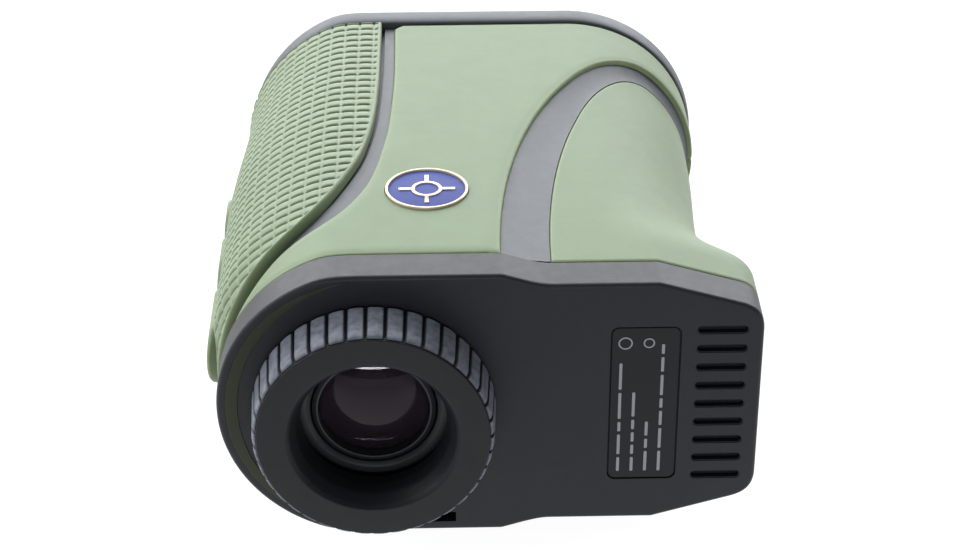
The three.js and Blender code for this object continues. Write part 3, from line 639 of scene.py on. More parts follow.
# ---- textured grip
FIRST_COLUMN = -0.75  # a column groove, next to the grip's edge
PAD_U = (FIRST_COLUMN - U_CROWN) / 14.5  # pad pitch around the body
FIRST_ROW = 51.7  # a row groove
PAD_Y = 2.14  # pad pitch along the body
BORDER = 0.45  # plain border round the pads
BORDER_R = 0.42  # its rounded edge
EDGE_SWELL = 0.35  # share of the swell left at the grip's edge
GRIP_FRONT = BEZEL_START - GAP
OPENINGS = {"measure": (46.7, 56.5), "mode": (31.2, 44.4), "rear": (11.0, 28.8)}
KEY_HALF = 4.6
KEY_TOP = 24.4


def oval_distance(across, y, y0, y1, half):
    """Signed distance outside an oval of straight flanks; across is measured from its middle."""
    past = np.maximum(0, np.maximum(y0 + half - y, y - (y1 - half)))
    return np.hypot(across, past) - half


def pad_lines(pitch, near):
    """Grid lines over one pad, from the groove at its start, closest next to the grooves."""
    half = np.array([*near, pitch / 2])
    return np.concatenate([half, pitch - half[-2:0:-1]])


def pad_columns(last_u):
    """Grid columns around the whole grip, the same on both sides of the crown."""
    cell = pad_lines(PAD_U, (0, 0.11, 0.22, 0.34, 0.62)) / PAD_U
    lines = np.concatenate([FIRST_COLUMN - PAD_U * (k + cell) for k in range(15)])
    lines = lines[(lines < last_u - 0.01) & (lines > U_CROWN + 0.01)]
    half = np.unique(np.round(np.append(lines, np.linspace(FIRST_COLUMN, last_u, 8)[1:]), 5))
    return np.concatenate([2 * U_CROWN - half[::-1], [U_CROWN], half])


def pad_rows(first_y, last_y):
    step = pad_lines(PAD_Y, (0, 0.12, 0.24, 0.37, 0.66))
    rows = np.concatenate([FIRST_ROW + PAD_Y * k + step for k in range(-22, 15)])
    return np.append(rows[(rows > first_y + 0.01) & (rows < last_y - 0.05)], last_y)


def pad_outline():
    """The grip's edge over one side, drawn in by its border."""
    edge_u, edge_y = curve(GRIP_EDGE, 200)(np.linspace(0, 1, 1200))
    slope_u, slope_y = np.gradient(edge_u), np.gradient(edge_y)
    length = np.hypot(slope_u, slope_y)
    in_u, in_y = edge_u - BORDER * slope_y / length, edge_y + BORDER * slope_u / length
    keep = (in_u > U_CROWN) & (in_y < GRIP_FRONT - BORDER)
    return in_u[keep], in_y[keep]


class PadGrid:
    """The grid of (u, y) points that carries the pads; each column starts at the pads' outline."""

    def __init__(self, columns, starts, rows):
        self.columns, self.starts, self.rows = columns, starts, rows
        self.index = {}
        self.points = []

    def vertex(self, i, j):
        y = max(self.rows[j], self.starts[i])
        key = (i, round(y, 4))
        if key not in self.index:
            self.index[key] = len(self.points)
            self.points.append((self.columns[i], y))
        return self.index[key]

    def faces(self):
        faces = []
        for i in range(len(self.columns) - 1):
            first = max(0, int(np.searchsorted(self.rows, min(self.starts[i], self.starts[i + 1]))) - 1)
            for j in range(first, len(self.rows) - 1):
                corners = ((i, j), (i, j + 1), (i + 1, j + 1), (i + 1, j))
                face = [self.vertex(*corner) for corner in corners]
                face = [v for k, v in enumerate(face) if v != face[k - 1]]
                if len(face) > 2:
                    faces.append(tuple(face))
        return faces

    def side(self, i):
        """The vertices of a side column above its start."""
        return [self.index[(i, round(y, 4))] for y in self.rows if y > self.starts[i] + 1e-4]

    def loop(self):
        """The loop round the pads, and outward directions that fan at the two front corners."""
        low = [self.vertex(i, 0) for i in range(len(self.columns))]
        tangent = np.gradient(np.array([self.points[v] for v in low]), axis=0)
        normal = np.arctan2(-tangent[:, 0], tangent[:, 1])
        normal[len(normal) // 2] = -math.pi / 2
        right, left = self.side(len(self.columns) - 1), self.side(0)[::-1]
        last = len(self.rows) - 1
        turns = list(zip(low, normal))
        turns += [(v, 0) for v in right[:-1]]
        turns += [(right[-1], a) for a in np.linspace(max(normal[-1], 0), math.pi / 2, 7)]
        turns += [(self.vertex(i, last), math.pi / 2) for i in range(len(self.columns) - 2, 0, -1)]
        turns += [(left[0], a) for a in np.linspace(math.pi / 2, math.pi, 7)]
        turns += [(v, math.pi) for v in left[1:]]
        return [v for v, _ in turns], np.array([(math.cos(a), math.sin(a)) for _, a in turns])


def from_groove(along, pitch):
    return np.abs(along / pitch - np.round(along / pitch)) * pitch


def pad_relief(u, y, outline, last_y):
    """The grip's plain level, how far the pads' surface lies below it, and a painted highlight along the
    pads' edges.
    """
    from_column = from_groove(u - FIRST_COLUMN, PAD_U)
    from_row = from_groove(y - FIRST_ROW, PAD_Y)
    inwards = distances(u, y, outline + np.where(outline[:, 1:] > last_y - 1e-6, (0, 3), (0, 0)))
    swell = grip_level(u, y) - GRIP_PROUD
    level = GRIP_PROUD + swell * mix(EDGE_SWELL, 1, smooth(inwards / 7))
    for y0, y1 in OPENINGS.values():
        from_key = oval_distance(u - U_CROWN, y, y0, y1, KEY_HALF + GAP) - BORDER
        inwards = np.minimum(inwards, np.maximum(0, from_key))
    border = smooth(inwards / 0.3)
    notch = 0.17 + 0.3 * smooth((y - GRIP_FRONT + 1.0) / 0.8)
    columns = notch * (1 - smooth(from_column / 0.34))
    rows = 0.36 * (1 - smooth(from_row / 0.38)) * smooth((from_column - 0.08) / 0.3)
    crown = 0.05 * (1 - smooth(from_column / (PAD_U / 2))) + 0.05 * (1 - smooth(from_row / (PAD_Y / 2)))
    # Painted highlight along each pad's edge beside the row grooves.
    painted_highlight = np.clip(1 - np.abs(from_row - 0.42) / 0.25, 0, 1) * 0.5 * border
    return level, (columns + rows + crown) * border, painted_highlight


def grip_sleeve(name):
    """The grip: pads between grooves, a border with a rounded edge, and a plain underside."""
    in_u, in_y = pad_outline()
    columns = pad_columns(float(in_u.max()))
    starts = np.interp(np.where(columns < U_CROWN, 2 * U_CROWN - columns, columns), in_u, in_y)
    last_y = GRIP_FRONT - 0.12
    grid = PadGrid(columns, starts, pad_rows(starts.min(), last_y))
    faces = grid.faces()
    loop, ways = grid.loop()
    uy = np.array(grid.points)
    u, y = uy.T
    outline = uy[loop]
    level, sunk, painted_highlight = pad_relief(u, y, outline, last_y)
    points, highlight_values = [on_body(u, y, level - sunk)], [painted_highlight]

    # The highlight values paint a highlight that is strongest on the border's rounded edge.
    outward = BORDER - np.array([0.42, 0.32, 0.24, 0.17, 0.11, 0.06, 0.02, 0.0])
    steps = [(d, drop, 1.0) for d, drop in zip(outward, fillet(BORDER - outward, BORDER_R))]
    steps += [(BORDER, -BORDER_R - drop, 0.3) for drop in (0.4, 0.8)] + [(BORDER, None, 0.0)]
    n, size = len(loop), len(uy)
    for k, (d, drop, edge_highlight) in enumerate(steps):
        ring = outline + ways * d
        ring_y = np.minimum(ring[:, 1], GRIP_FRONT)
        edge_level = mix(GRIP_PROUD, grip_level(ring[:, 0], ring_y), EDGE_SWELL)
        top = -ARMOUR if drop is None else edge_level - sunk[loop] + drop
        points.append(on_body(ring[:, 0], ring_y, top))
        highlight_values.append(np.full(n, edge_highlight * (0.2 + 0.8 * (d / BORDER) ** 6)))
        inner = loop if k == 0 else range(size + (k - 1) * n, size + k * n)
        for m in range(n):
            a, b = inner[m], inner[(m + 1) % n]
            c, e = size + k * n + (m + 1) % n, size + k * n + m
            faces.append((a, b, c, e) if a != b else (a, c, e))
    bottom = size + (len(steps) - 1) * n
    under = bottom + n
    points.append(on_body(u, y, -ARMOUR))
    highlight_values.append(np.zeros(size))
    faces += [tuple(under + v for v in reversed(f)) for f in faces if max(f) < size]
    for m in range(n):
        a, b = loop[m], loop[(m + 1) % n]
        c, e = bottom + (m + 1) % n, bottom + m
        faces.append((under + a, e, c, under + b) if a != b else (under + a, e, c))
    return build(name, np.vstack(points), faces, np.concatenate(highlight_values), sharp=50)


def key_openings(*which):
    return [oval_prism("tool_" + k, -30, -15, OPENINGS[k][0] - GAP, OPENINGS[k][1] + GAP, KEY_HALF + GAP)
            for k in which]


grip = cut(grip_sleeve("grip_sleeve"), *key_openings(*OPENINGS), sharp=50)
finish_piece(grip, GRIP_RUBBER, "case", "armour", "grip_cover")

# ---- side armour, palm panel and badge
BADGE_X, BADGE_Y, BADGE_R = 7.8, 24.7, 6.05


def disc_profile(r, z0, z1, edge):
    return rounded([(0, z0), (r, z0), (r, z1), (0, z1)], [0, 0.05, edge, 0])


def upright(name, profile, x, y, around=128):
    """A body of revolution about an axis parallel to Z, from a (radius, z) profile."""
    return turned(name, profile, x, around, upright_at=y)


ROLL = 0.12  # how far the side armour's top falls away
armour_right = side_armour("side_armour_shell_right", roll=ROLL)
seat_r = BADGE_R + 0.12
cut(armour_right, upright("tool_seat", [(0, 20.6), (seat_r, 20.6), (seat_r, 23), (0, 23)], BADGE_X, BADGE_Y))
finish_piece(armour_right, ARMOUR_RUBBER, "case", "armour", "side_armour_right")
armour_left = mirrored(side_armour("side_armour_shell_left", roll=ROLL))
finish_piece(armour_left, ARMOUR_RUBBER, "case", "armour", "side_armour_left")

DOOR_Y0, DOOR_Y1, DOOR_HALF = 8.3, 24.7, 9.4
DOOR_GAP_Y = 29.7  # front end of the door's opening, past its hinge
panel = palm_panel("palm_panel")
cut(panel, box("tool_door", 40, 60, DOOR_Y0 - GAP, DOOR_GAP_Y, -DOOR_HALF - GAP, DOOR_HALF + GAP))
finish_piece(panel, ARMOUR_RUBBER, "case", "armour", "palm_cover")

RIM_PROFILE = [
    (BADGE_R - 0.4, 21.2), (BADGE_R - 0.4, 21.85), (BADGE_R, 21.85), (BADGE_R, 20.7), (0.5, 20.7),
    (0.5, 21.15), (BADGE_R - 1.0, 21.15),
]
rim = upright("badge_rim", rounded(RIM_PROFILE, [0.02, 0.12, 0.15, 0.05, 0.02, 0.02, 0.02]), BADGE_X, BADGE_Y)
finish_piece(rim, BADGE_GOLD, "case", "badge_gold", "badge_ring")
enamel = upright("badge_enamel_disc", disc_profile(BADGE_R - 0.45, 21.2, 21.55, 0.08), BADGE_X, BADGE_Y)
finish_piece(enamel, BADGE_BLUE, "case", "badge_blue", "badge_disc")


def badge_mark():
    """A plain aiming mark: an open ring with four ticks."""
    profile = rounded([(1.75, 21.45), (1.75, 21.72), (2.25, 21.72), (2.25, 21.45)], [0.01, 0.08, 0.08, 0.01])
    mark = upright("aiming_mark", profile, BADGE_X, BADGE_Y, 64)
    ticks = []
    for k in range(4):
        tick = box("tool_bar", BADGE_X + 2.1, BADGE_X + 4.1, BADGE_Y - 0.3, BADGE_Y + 0.3, 21.45, 21.7)
        turn_about(tick, BADGE_X, BADGE_Y, k * math.pi / 2)
        ticks.append(tick)
    return boolean(mark, "UNION", ticks)


def turn_about(obj, x, y, angle):
    centre = Matrix.Translation(ORIGIN + np.array([x, y, 0]) / 1000)
    obj.data.transform(centre @ Matrix.Rotation(angle, 4, "Z") @ centre.inverted())


finish_piece(badge_mark(), BADGE_GOLD, "case", "badge_gold")

# ---- housing
STATIONS = [REAR_CAP + GAP, *np.arange(7.5, 81.6, 1.0), BEZEL_START - GAP]


def band_level(u, y):
    """The level of the housing where it shows, in bands between the pieces of armour."""
    return -BAND_DEPTH - (RECESS - BAND_DEPTH) * recessed(u, y)


def wall_level(depth):
    return lambda u, y: -depth - RECESS * recessed(u, y)


def housing(name, side):
    """Half of the housing: a shell with the bands showing, and pockets under the armour."""
    half = tube(name, STATIONS, band_level, 400, sharp=30)
    inner = tube("tool_cavity", [-1, *np.arange(4, 84, 4), FRONT + 1], wall_level(ARMOUR + GAP + WALL), 160)
    reach = 1.2
    depth = reach + ARMOUR + GAP + 0.1
    pocket = side_armour("tool_pocket", SEAM, reach, depth, 0, 0, 110, 30)
    if side < 0:
        mirrored(pocket)
    grip_pocket = grip_underlay(0.55, reach, depth)
    palm_pocket = palm_panel("tool_palm", SEAM, reach - RECESS, depth, 0, 80, 60)
    opening = box("tool_door", 36, 60, DOOR_Y0 + 1.2, DOOR_GAP_Y, -DOOR_HALF + 0.6, DOOR_HALF - 0.6)
    far = (-30, -0.05) if side > 0 else (0.05, 30)
    other = box("tool_half", -60, 90, -10, 120, *far)
    keys = key_openings("measure", "mode")
    return cut(half, inner, pocket, grip_pocket, palm_pocket, opening, other, *keys, sharp=30)


def grip_underlay(grow, top, thickness):
    """The grip's outline without its pads, as a cutter for its pocket."""
    t = np.linspace(0, 1, 90)
    edge_u, edge_y = curve(GRIP_EDGE)(t)
    front = GRIP_FRONT + grow
    right = (edge_u + grow)[:, None]
    s = np.linspace(0, 1, 80)[None, :]
    u = mix(2 * U_CROWN - right, right, s)
    rows = np.minimum(edge_y - grow * smooth(1 - t), front)
    y = np.broadcast_to(np.where(t > 0.999, front, rows)[:, None], u.shape)
    return slab("tool_grip", on_body(u, y, top), on_body(u, y, top - thickness))


for side, word in ((1, "right"), (-1, "left")):
    shell = housing("housing_shell_" + word, side)
    finish_piece(shell, SHELL_PLASTIC, "case", "shell", "housing_" + word)

# ---- rear cover
SLOT_X0, SLOT_X1, SLOT_PITCH, SLOT_COUNT, SLOT_HALF = 45.2, 52.2, 3.07, 9, 0.55
LIP = 0.16  # broken edge of the slots
LABEL_X0, LABEL_X1, LABEL_HALF = 33.3, 42.8, 12.7
SLEEVE_R = 14.8
STRAP_X0, STRAP_X1, STRAP_Z, STRAP_BAR = 5.0, 11.4, 18.3, 20.0
ACCENT_R = 21.0  # outer radius of the crescent inlay
ACCENT_X = 2.2  # its inner circle is off the eyepiece axis by this much


def rear_cover(name):
    """The cover's cap: a rim round the body, a rounded edge and a flat rear face."""
    u = around_body(480)
    rim_r = 0.6
    base = -RECESS * recessed(u, RECESS_Y)
    rings, values = [], []
    for y in (2.0, REAR_CAP):
        rings.append(on_body(u, y, base - 1.8))
        values.append(np.zeros(len(u)))
    # Rim values mark a painted highlight: faint at the rim's front end, strongest on the rounded rear edge.
    for y in (REAR_CAP, REAR_CAP - 0.08, 5.0, 3.5, 2.0, 1.2, 0.8):
        rings.append(on_body(u, y, base - (0.08 if y == REAR_CAP else 0)))
        values.append(np.full(len(u), 0.3 if y > 6 else 0))
    for a in np.linspace(0, math.pi / 2, 8):
        rings.append(on_body(u, rim_r * (1 - math.sin(a)), base - rim_r * (1 - math.cos(a))))
        values.append(np.full(len(u), math.sin(2 * a)))
    rings.append(on_body(u, 0.0, base - rim_r - 0.5))
    values.append(np.zeros(len(u)))
    return loft(name, rings, np.array(values))


def slot_tool(name, x0, x1, z, half, depth):
    xz = oval(x0, x1, half, steps=12) + (0, z)
    return loft(name, [np.insert(xz, 1, y, axis=1) for y in (-1, depth)])


def rounded_plate(name, x0, x1, half, corner, y0, y1, edge=0.0, steps=8):
    """A rounded rectangle in x and z, from y0 at the back to y1, its rear edge broken by edge."""
    corners = ((x1, half, 0), (x1, -half, -90), (x0, -half, -180), (x0, half, -270))

    def ring(y, inset):
        out = []
        r = max(corner - inset, 0.02)
        for cx, cz, start in corners:
            for k in range(steps):
                a = math.radians(start + 90 - 90 * k / (steps - 1))
                sx, sz = (1 if cx == x1 else -1), (1 if cz > 0 else -1)
                out.append((cx - sx * corner + r * math.cos(a), y, cz - sz * corner + r * math.sin(a)))
        return out

    rear = [ring(y0, edge), ring(y0 + edge, 0)] if edge else [ring(y0, 0)]
    return loft(name, [*rear, ring(y1, 0)])


cover = rear_cover("rear_cover_shell")
slots = [(i - (SLOT_COUNT - 1) / 2) * SLOT_PITCH for i in range(SLOT_COUNT)]
tools = [slot_tool("tool_slot", SLOT_X0, SLOT_X1, z, SLOT_HALF, 1.0) for z in slots]
tools += [slot_tool("tool_lip", SLOT_X0 - LIP, SLOT_X1 + LIP, z, SLOT_HALF + LIP, 0.12) for z in slots]
tools.append(rounded_plate("tool_label", LABEL_X0 - 0.2, LABEL_X1 + 0.2, LABEL_HALF + 0.2, 1.2, -1, 0.6))
tools.append(turned("tool_bore", [(0, -1), (SLEEVE_R + GAP, -1), (SLEEVE_R + GAP, 4), (0, 4)]))
tools.append(box("tool_strap", STRAP_X0, STRAP_X1, -1, 4.6, -STRAP_BAR, -STRAP_Z))
tools.append(box("tool_bar", STRAP_X0, STRAP_X1, 2.6, 4.6, -HALF_WIDTH - 1, -STRAP_Z))
cut(cover, *tools)
seat = turned("tool_seat", [(0, -1), (ACCENT_R + 0.02, -1), (ACCENT_R + 0.02, 0.5), (0, 0.5)])
cut(seat, turned("tool_inner", [(0, -2), (21.38, -2), (21.38, 2), (0, 2)], ACCENT_X, 240))
cut(cover, seat)
finish_piece(cover, COVER_PLASTIC, "case", "cover", "rear_cover")

outer = rounded([(0, -0.12), (ACCENT_R, -0.12), (ACCENT_R, 0.4), (0, 0.4)], [0, 0.2, 0.02, 0])
inner = rounded([(0, -1), (21.75, -1), (21.4, -0.05), (21.4, 1), (0, 1)], [0, 0, 0.3, 0, 0])
accent = cut(turned("crescent_inlay", outer, around=240), turned("tool_inner", inner, ACCENT_X, 240))
finish_piece(accent, ACCENT_RUBBER, "case", "armour", "rear_accent")

label = rounded_plate("label_film_plate", LABEL_X0, LABEL_X1, LABEL_HALF, 1.0, 0.08, 0.5, 0.06)
finish_piece(label, LABEL_FILM, "case", "label", "label_plate")
INK_Y0, INK_Y1 = 0.055, 0.1  # the ink stands a little proud of the film


def label_rules(name):
    """Plain ruled dashes in four columns and two rings, where the real label is printed."""
    random.seed(4)
    bars = []
    width = 0.42
    for column, reach in enumerate((19.0, 13.5, 9.0, 21.5)):
        x = LABEL_X0 + 1.35 + column * 1.95
        z = -LABEL_HALF + 1.2
        end = z + reach
        while z < end - 0.5:
            length = min(random.choice((1.6, 2.4, 3.4, 4.4)), end - z)
            dash = rounded_plate("tool_dash", 0, width, length / 2, 0.15, INK_Y0, INK_Y1, steps=4)
            bars.append(shifted(dash, x - width / 2, z + length / 2))
            z += length + 0.55
    for x, size in ((LABEL_X0 + 1.9, 1.0), (LABEL_X0 + 5.2, 0.8)):
        ring = [(size - 0.2, INK_Y0), (size, INK_Y0), (size, INK_Y1), (size - 0.2, INK_Y1)]
        bars.append(shifted(turned("tool_dot", rounded(ring, 0.01), 0, 40), x, 10.2))
    return merged(name, bars)


def shifted(obj, x, z):
    obj.data.transform(Matrix.Translation((x / 1000, 0, z / 1000)))
    return obj


def merged(name, parts):
    bm = bmesh.new()
    for part in parts:
        bm.from_mesh(part.data)
        bpy.data.objects.remove(part)
    mesh = bpy.data.meshes.new(name)
    bm.to_mesh(mesh)
    bm.free()
    soften(mesh, 35)
    return add_object(name, mesh)


finish_piece(label_rules("label_rules"), LABEL_INK, "case", "label")

# ---- eyepiece
TEETH = 39
KNURL_Y0, KNURL_Y1, KNURL_R0, KNURL_R1 = -0.4, -6.7, 17.2, 16.75
TOOTH_ROOT = 14.3  # inner radius of the ring
CUP_R = 16.2


def knurled_ring(name):
    """The focusing ring: flat teeth between narrow grooves that run over its rear edge."""
    local = np.array([0, 0.045, 0.09, 0.135, 0.19, 0.27, 0.5, 0.73, 0.81, 0.865, 0.91, 0.955])
    turns = (np.arange(TEETH)[:, None] + local[None, :]).ravel() / TEETH
    angle = turns * 2 * math.pi
    near = np.minimum(turns * TEETH % 1, 1 - turns * TEETH % 1)  # from the middle of a groove, in teeth
    groove = 1 - smooth(near / 0.12)
    profile = [(KNURL_R0 - 0.3, KNURL_Y0, 0), (KNURL_R0, KNURL_Y0 - 0.25, 1)]
    profile += [(mix(KNURL_R0, KNURL_R1 + 0.1, s), mix(KNURL_Y0 - 0.25, KNURL_Y1 + 0.2, s), 1)
                for s in np.linspace(0.08, 1, 12)]
    profile += [(KNURL_R1, KNURL_Y1 - 0.1, 1), (KNURL_R1 - 0.06, KNURL_Y1 - 0.35, 1),
                (KNURL_R1 - 0.18, KNURL_Y1 - 0.55, 0.9), (KNURL_R1 - 0.34, KNURL_Y1 - 0.65, 0.7),
                (CUP_R + 0.05, KNURL_Y1 - 0.66, 0), (CUP_R + 0.05, KNURL_Y1, 0),
                (TOOTH_ROOT, KNURL_Y1, 0), (TOOTH_ROOT, KNURL_Y0, 0)]
    rings, values = [], []
    for r, y, toothed in profile:
        depth = (0.45 * groove + 0.06 * (1 - smooth(near / 0.5))) * toothed
        radius = np.maximum(r - depth, min(r, CUP_R + 0.05))
        rings.append(np.stack([radius * np.cos(angle), np.full(len(angle), y), radius * np.sin(angle)], -1))
        # Rim values mark the tooth tops, which get a painted highlight.
        values.append(smooth((near - 0.08) / 0.08) * toothed)
    return loft(name, rings, np.array(values), sharp=50, closed=True)


finish_piece(knurled_ring("focus_ring"), BLACK_RUBBER, "diopter", "soft_rubber", "diopter_ring")

EYECUP_PROFILE = [
    (10.3, -1.9), (10.3, -3.6), (10.7, -5.4), (11.6, -7.1), (12.15, -7.7), (CUP_R - 0.1, -7.7),
    (CUP_R, -7.6), (CUP_R, -6.9), (14, -6.9), (14, -0.6), (13.2, -0.6), (13.2, -1.9),
]
EYECUP_RADII = [0.1, 1.2, 3, 1.5, 0.5, 0.45, 0.2, 0.05, 0.05, 0.05, 0.05, 0.05]
cup = turned("eyecup_rubber", rounded(EYECUP_PROFILE, EYECUP_RADII, 7), around=240)
finish_piece(cup, BLACK_RUBBER, "diopter", "soft_rubber", "eyecup")

CELL_PROFILE = [
    (9, -0.2), (9.6, -0.6), (12.9, -0.6), (12.9, 12.5), (9, 12.5), (9, 6.2), (7.9, 6.2), (7.9, 5.2), (9, 5.2),
]
barrel = turned("eyepiece_barrel", rounded(CELL_PROFILE, 0.08, 3))
finish_piece(barrel, ANODISED, "lens_cell", "black_metal", "eyepiece_cell")
RETAINER_PROFILE = [
    (7.9, -0.4), (8.15, -0.4), (8.7, -0.1), (8.7, 1.3), (7.9, 1.3), (7.9, 0.9), (8.0, 0.8), (7.9, 0.7),
    (7.9, 0.4), (8.0, 0.3), (7.9, 0.2),
]
retainer = turned("eye_lens_retainer", rounded(RETAINER_PROFILE, 0.04, 3))
finish_piece(retainer, ANODISED, "lens_cell", "black_metal", "eye_lens_ring")


def lens(name, r, y0, y1, bulge0, bulge1, x=0.0):
    """A lens of radius r from y0 to y1 at its edge, its two faces bulging outwards."""
    bevel = 0.12
    s = np.linspace(0, 1, 14)
    back = [(r * k, y0 - bulge0 * (1 - k * k)) for k in s[:-1]]
    front = [(r * k, y1 + bulge1 * (1 - k * k)) for k in s[-2::-1]]
    edge = [(r - bevel, y0), (r, y0 + bevel), (r, y1 - bevel), (r - bevel, y1)]
    return turned(name, [*back, *edge, *front], x, 128, sharp=30)


eye_lens = lens("eye_lens_glass", 8.7, 1.7, 4.2, 2.3, 0.6)
finish_piece(eye_lens, COATED_GLASS, "lens_cell", "coated_glass", "eye_lens")

# ---- front frame and lenses
REAR_FALL = ((2.4, 0), (1.7, 0.02), (1.1, 0.07), (0.6, 0.15), (0.25, 0.25), (0.08, 0.33), (0, 0.42))
OBJECTIVE_R, LASER_R = 14.0, 12.6


def front_frame(name):
    """The front frame: a rounded front edge, a rear edge that falls away, and a step for the panel."""
    u = around_body(420)
    profile = [(BEZEL_START, -3.2), (84.6, -3.2), (84.6, -2.2), (FRONT - 0.25, -2.2)]
    profile += [(FRONT - 0.2 + 0.2 * math.sin(a), -2.2 + 0.2 * (1 - math.cos(a)))
                for a in np.linspace(0.4, 1.57, 3)]
    profile += [(FRONT - 0.9 + 0.9 * math.cos(a), BEZEL_PROUD - 0.9 + 0.9 * math.sin(a))
                for a in np.linspace(0, 1.57, 9)]
    profile += [(BEZEL_START + along, BEZEL_PROUD - fall) for along, fall in REAR_FALL]
    dip = BEZEL_DIP * crownward(u)
    rings = [on_body(u, y, off - dip * (off > -1.5)) for y, off in profile]
    # Rim values mark a painted highlight along the rounded front edge.
    values = [np.full(len(u), math.exp(-(((y - FRONT + 0.3) / 0.35) ** 2)) if off > -1.5 else 0)
              for y, off in profile]
    return loft(name, rings, np.array(values), closed=True)


def front_panel(name):
    """The dark panel inside the front frame, with a bevelled hole for each lens."""
    u = around_body(300)
    edge = ((84.9, -2.7), (84.9, -2.5), (85.8, -2.5), (86.0, -2.7))
    panel = loft(name, [on_body(u, y, off) for y, off in edge])
    bores = []
    for x, r in ((0, OBJECTIVE_R + GAP), (LASER_X, LASER_R + GAP)):
        profile = [(0, 80), (r, 80), (r, 85.75), (r + 0.25, 86.2), (r + 0.25, 90), (0, 90)]
        bores.append(turned("tool_bore", rounded(profile, 0), x))
    return cut(panel, *bores)


finish_piece(front_frame("front_frame"), SHELL_PLASTIC, "case", "shell", "front_bezel")
finish_piece(front_panel("front_panel"), COVER_PLASTIC, "case", "cover", "front_plate")

for word, x, r, back in (("objective", 0.0, OBJECTIVE_R, 66), ("laser", LASER_X, LASER_R, 72)):
    bore = r - 1.3
    baffles = []
    for k in range(7):
        baffles += [(bore, 85.2 - k * 0.42), (bore + 0.12, 85.05 - k * 0.42)]
    profile = [(bore, back), (r, back), (r, FRONT - 0.95), (r - 0.45, FRONT - 0.5), (r - 0.9, FRONT - 0.5),
               (bore, FRONT - 1.2), *baffles, (bore, 79), (bore - 1, 79), (bore - 1, 78), (bore, 78)]
    barrel = turned(word + "_barrel", rounded(profile, 0.06, 3), x)
    finish_piece(barrel, ANODISED, "case", "black_metal", word + "_cell")
    glass_disc = lens(word + "_glass", bore - GAP, 80, 83.4, 0, 1.3, x)
    finish_piece(glass_disc, COATED_GLASS, "case", "coated_glass", word + "_lens")
    keeper = [(bore - 1.2, 83.8), (bore - GAP, 83.8), (bore - GAP, 85.6), (bore - 0.7, 85.6)]
    retainer = turned(word + "_retainer", rounded(keeper, 0.08, 3), x)
    finish_piece(retainer, ANODISED, "case", "black_metal", word + "_ring")

# ---- keys and rear pad
KEY_FLANGE = (-17.0, -17.8)  # inner and outer face of the flange that holds a key in
PAD_FLOOR = -21.2


def key_cap(name, y0, y1, floor, flange=None):
    """A key whose top follows the crown, with rounded edges and a shallow finger dish."""
    dish_y = (y0 + y1) / 2

    def ring(inset, drop, level=None):
        yz = oval(y0, y1, KEY_HALF, inset, 24)
        top = np.sqrt(KEY_TOP**2 - yz[:, 1] ** 2) - drop
        if level is None and inset > 1:
            top = top - 0.35 * np.exp(-((yz[:, 0] - dish_y) ** 2 + yz[:, 1] ** 2) / 6)
        x = -top if level is None else np.full(len(yz), level)
        return np.insert(yz, 0, x, axis=1)

    rings = [] if flange is None else [ring(-0.9, 0, flange), ring(-0.9, 0, floor)]
    rings.append(ring(0, 0, floor))
    values = [0] * len(rings)
    # Rim values mark a painted highlight on the key's rounded edge.
    for inset in (0.0, 0.03, 0.1, 0.2, 0.34, 0.5, 0.7):
        rings.append(ring(inset, -float(fillet(inset, 0.7))))
        values.append(math.exp(-(((inset - 0.3) / 0.25) ** 2)))
    for inset in (1.05, 1.3, 1.7, 2.1, 2.6, 3.1, 3.6, 4.0, 4.3, 4.5):
        rings.append(ring(inset, 0.18 * math.exp(-(((inset - 1.25) / 0.14) ** 2))))
        values.append(0)
    return loft(name, rings, np.repeat(np.array(values)[:, None], len(rings[0]), axis=1), sharp=50)


for word in ("measure", "mode"):
    cap = key_cap(word + "_key", *OPENINGS[word], KEY_FLANGE[1], KEY_FLANGE[0])
    finish_piece(cap, KEY_RUBBER, word + "_key", "soft_rubber", word + "_button")
rear_pad = key_cap("rear_rest_pad", *OPENINGS["rear"], PAD_FLOOR)
finish_piece(rear_pad, KEY_RUBBER, "case", "soft_rubber", "rear_pad")

# ---- battery door and latch
PIN_X, PIN_Y, BARREL, KNUCKLE = 49.0, 26.4, 1.4, 4.0


def pin(name, r, z0, z1, x, y, edge=0.15):
    return upright(name, disc_profile(r, z0, z1, edge), x, y, 48)


def box_patch(name, y0, y1, half, top, thickness, radius, count=50, across=60):
    """A rounded-edged slab of the palm surface between y0 and y1, and z within half of the mid-plane."""
    reach = np.linspace(0, 30, 3000)
    _, _, z = np.moveaxis(on_body(U_HEEL - reach, (y0 + y1) / 2, top), -1, 0)
    du = float(np.interp(half, z, reach))

    def edge(shift):
        return lambda t: (np.full_like(t, U_HEEL + shift), mix(y0, y1, t))

    return skin(name, edge(-du), edge(du), count, across, top, thickness, radius)


door = box_patch("battery_hatch", DOOR_Y0, DOOR_Y1, DOOR_HALF, -RECESS, ARMOUR, 0.4)
plug = box_patch("tool_plug", DOOR_Y0 + 1.6, DOOR_Y1 - 1.6, DOOR_HALF - 1.6, -RECESS - 0.5, 1.4, 0, 20, 20)
knuckle = pin("tool_knuckle", BARREL, -KNUCKLE, KNUCKLE, PIN_X, PIN_Y)
web = box("tool_web", PIN_X - 0.5, PIN_X + 1.45, DOOR_Y1 - 2.2, PIN_Y, -KNUCKLE, KNUCKLE)
boolean(door, "UNION", [plug, knuckle, web])
ribs = [box("tool_rib", 47, 60, y, y + 0.45, -4.5, 4.5) for y in np.arange(18.2, 22.6, 1.0)]
shallow = box_patch("tool_shallow", 17, 23, 4.5, 1.0, 3.05, 0, 12, 12)
rib_cut = boolean(merged("tool_ribs", ribs), "INTERSECT", [shallow])
pin_hole = pin("tool_pin", 0.95, -20, 20, PIN_X, PIN_Y, 0.01)
cut(door, pin_hole, box("tool_latch", 40, 60, 8.9, 15.2, -3.8, 3.8), rib_cut)
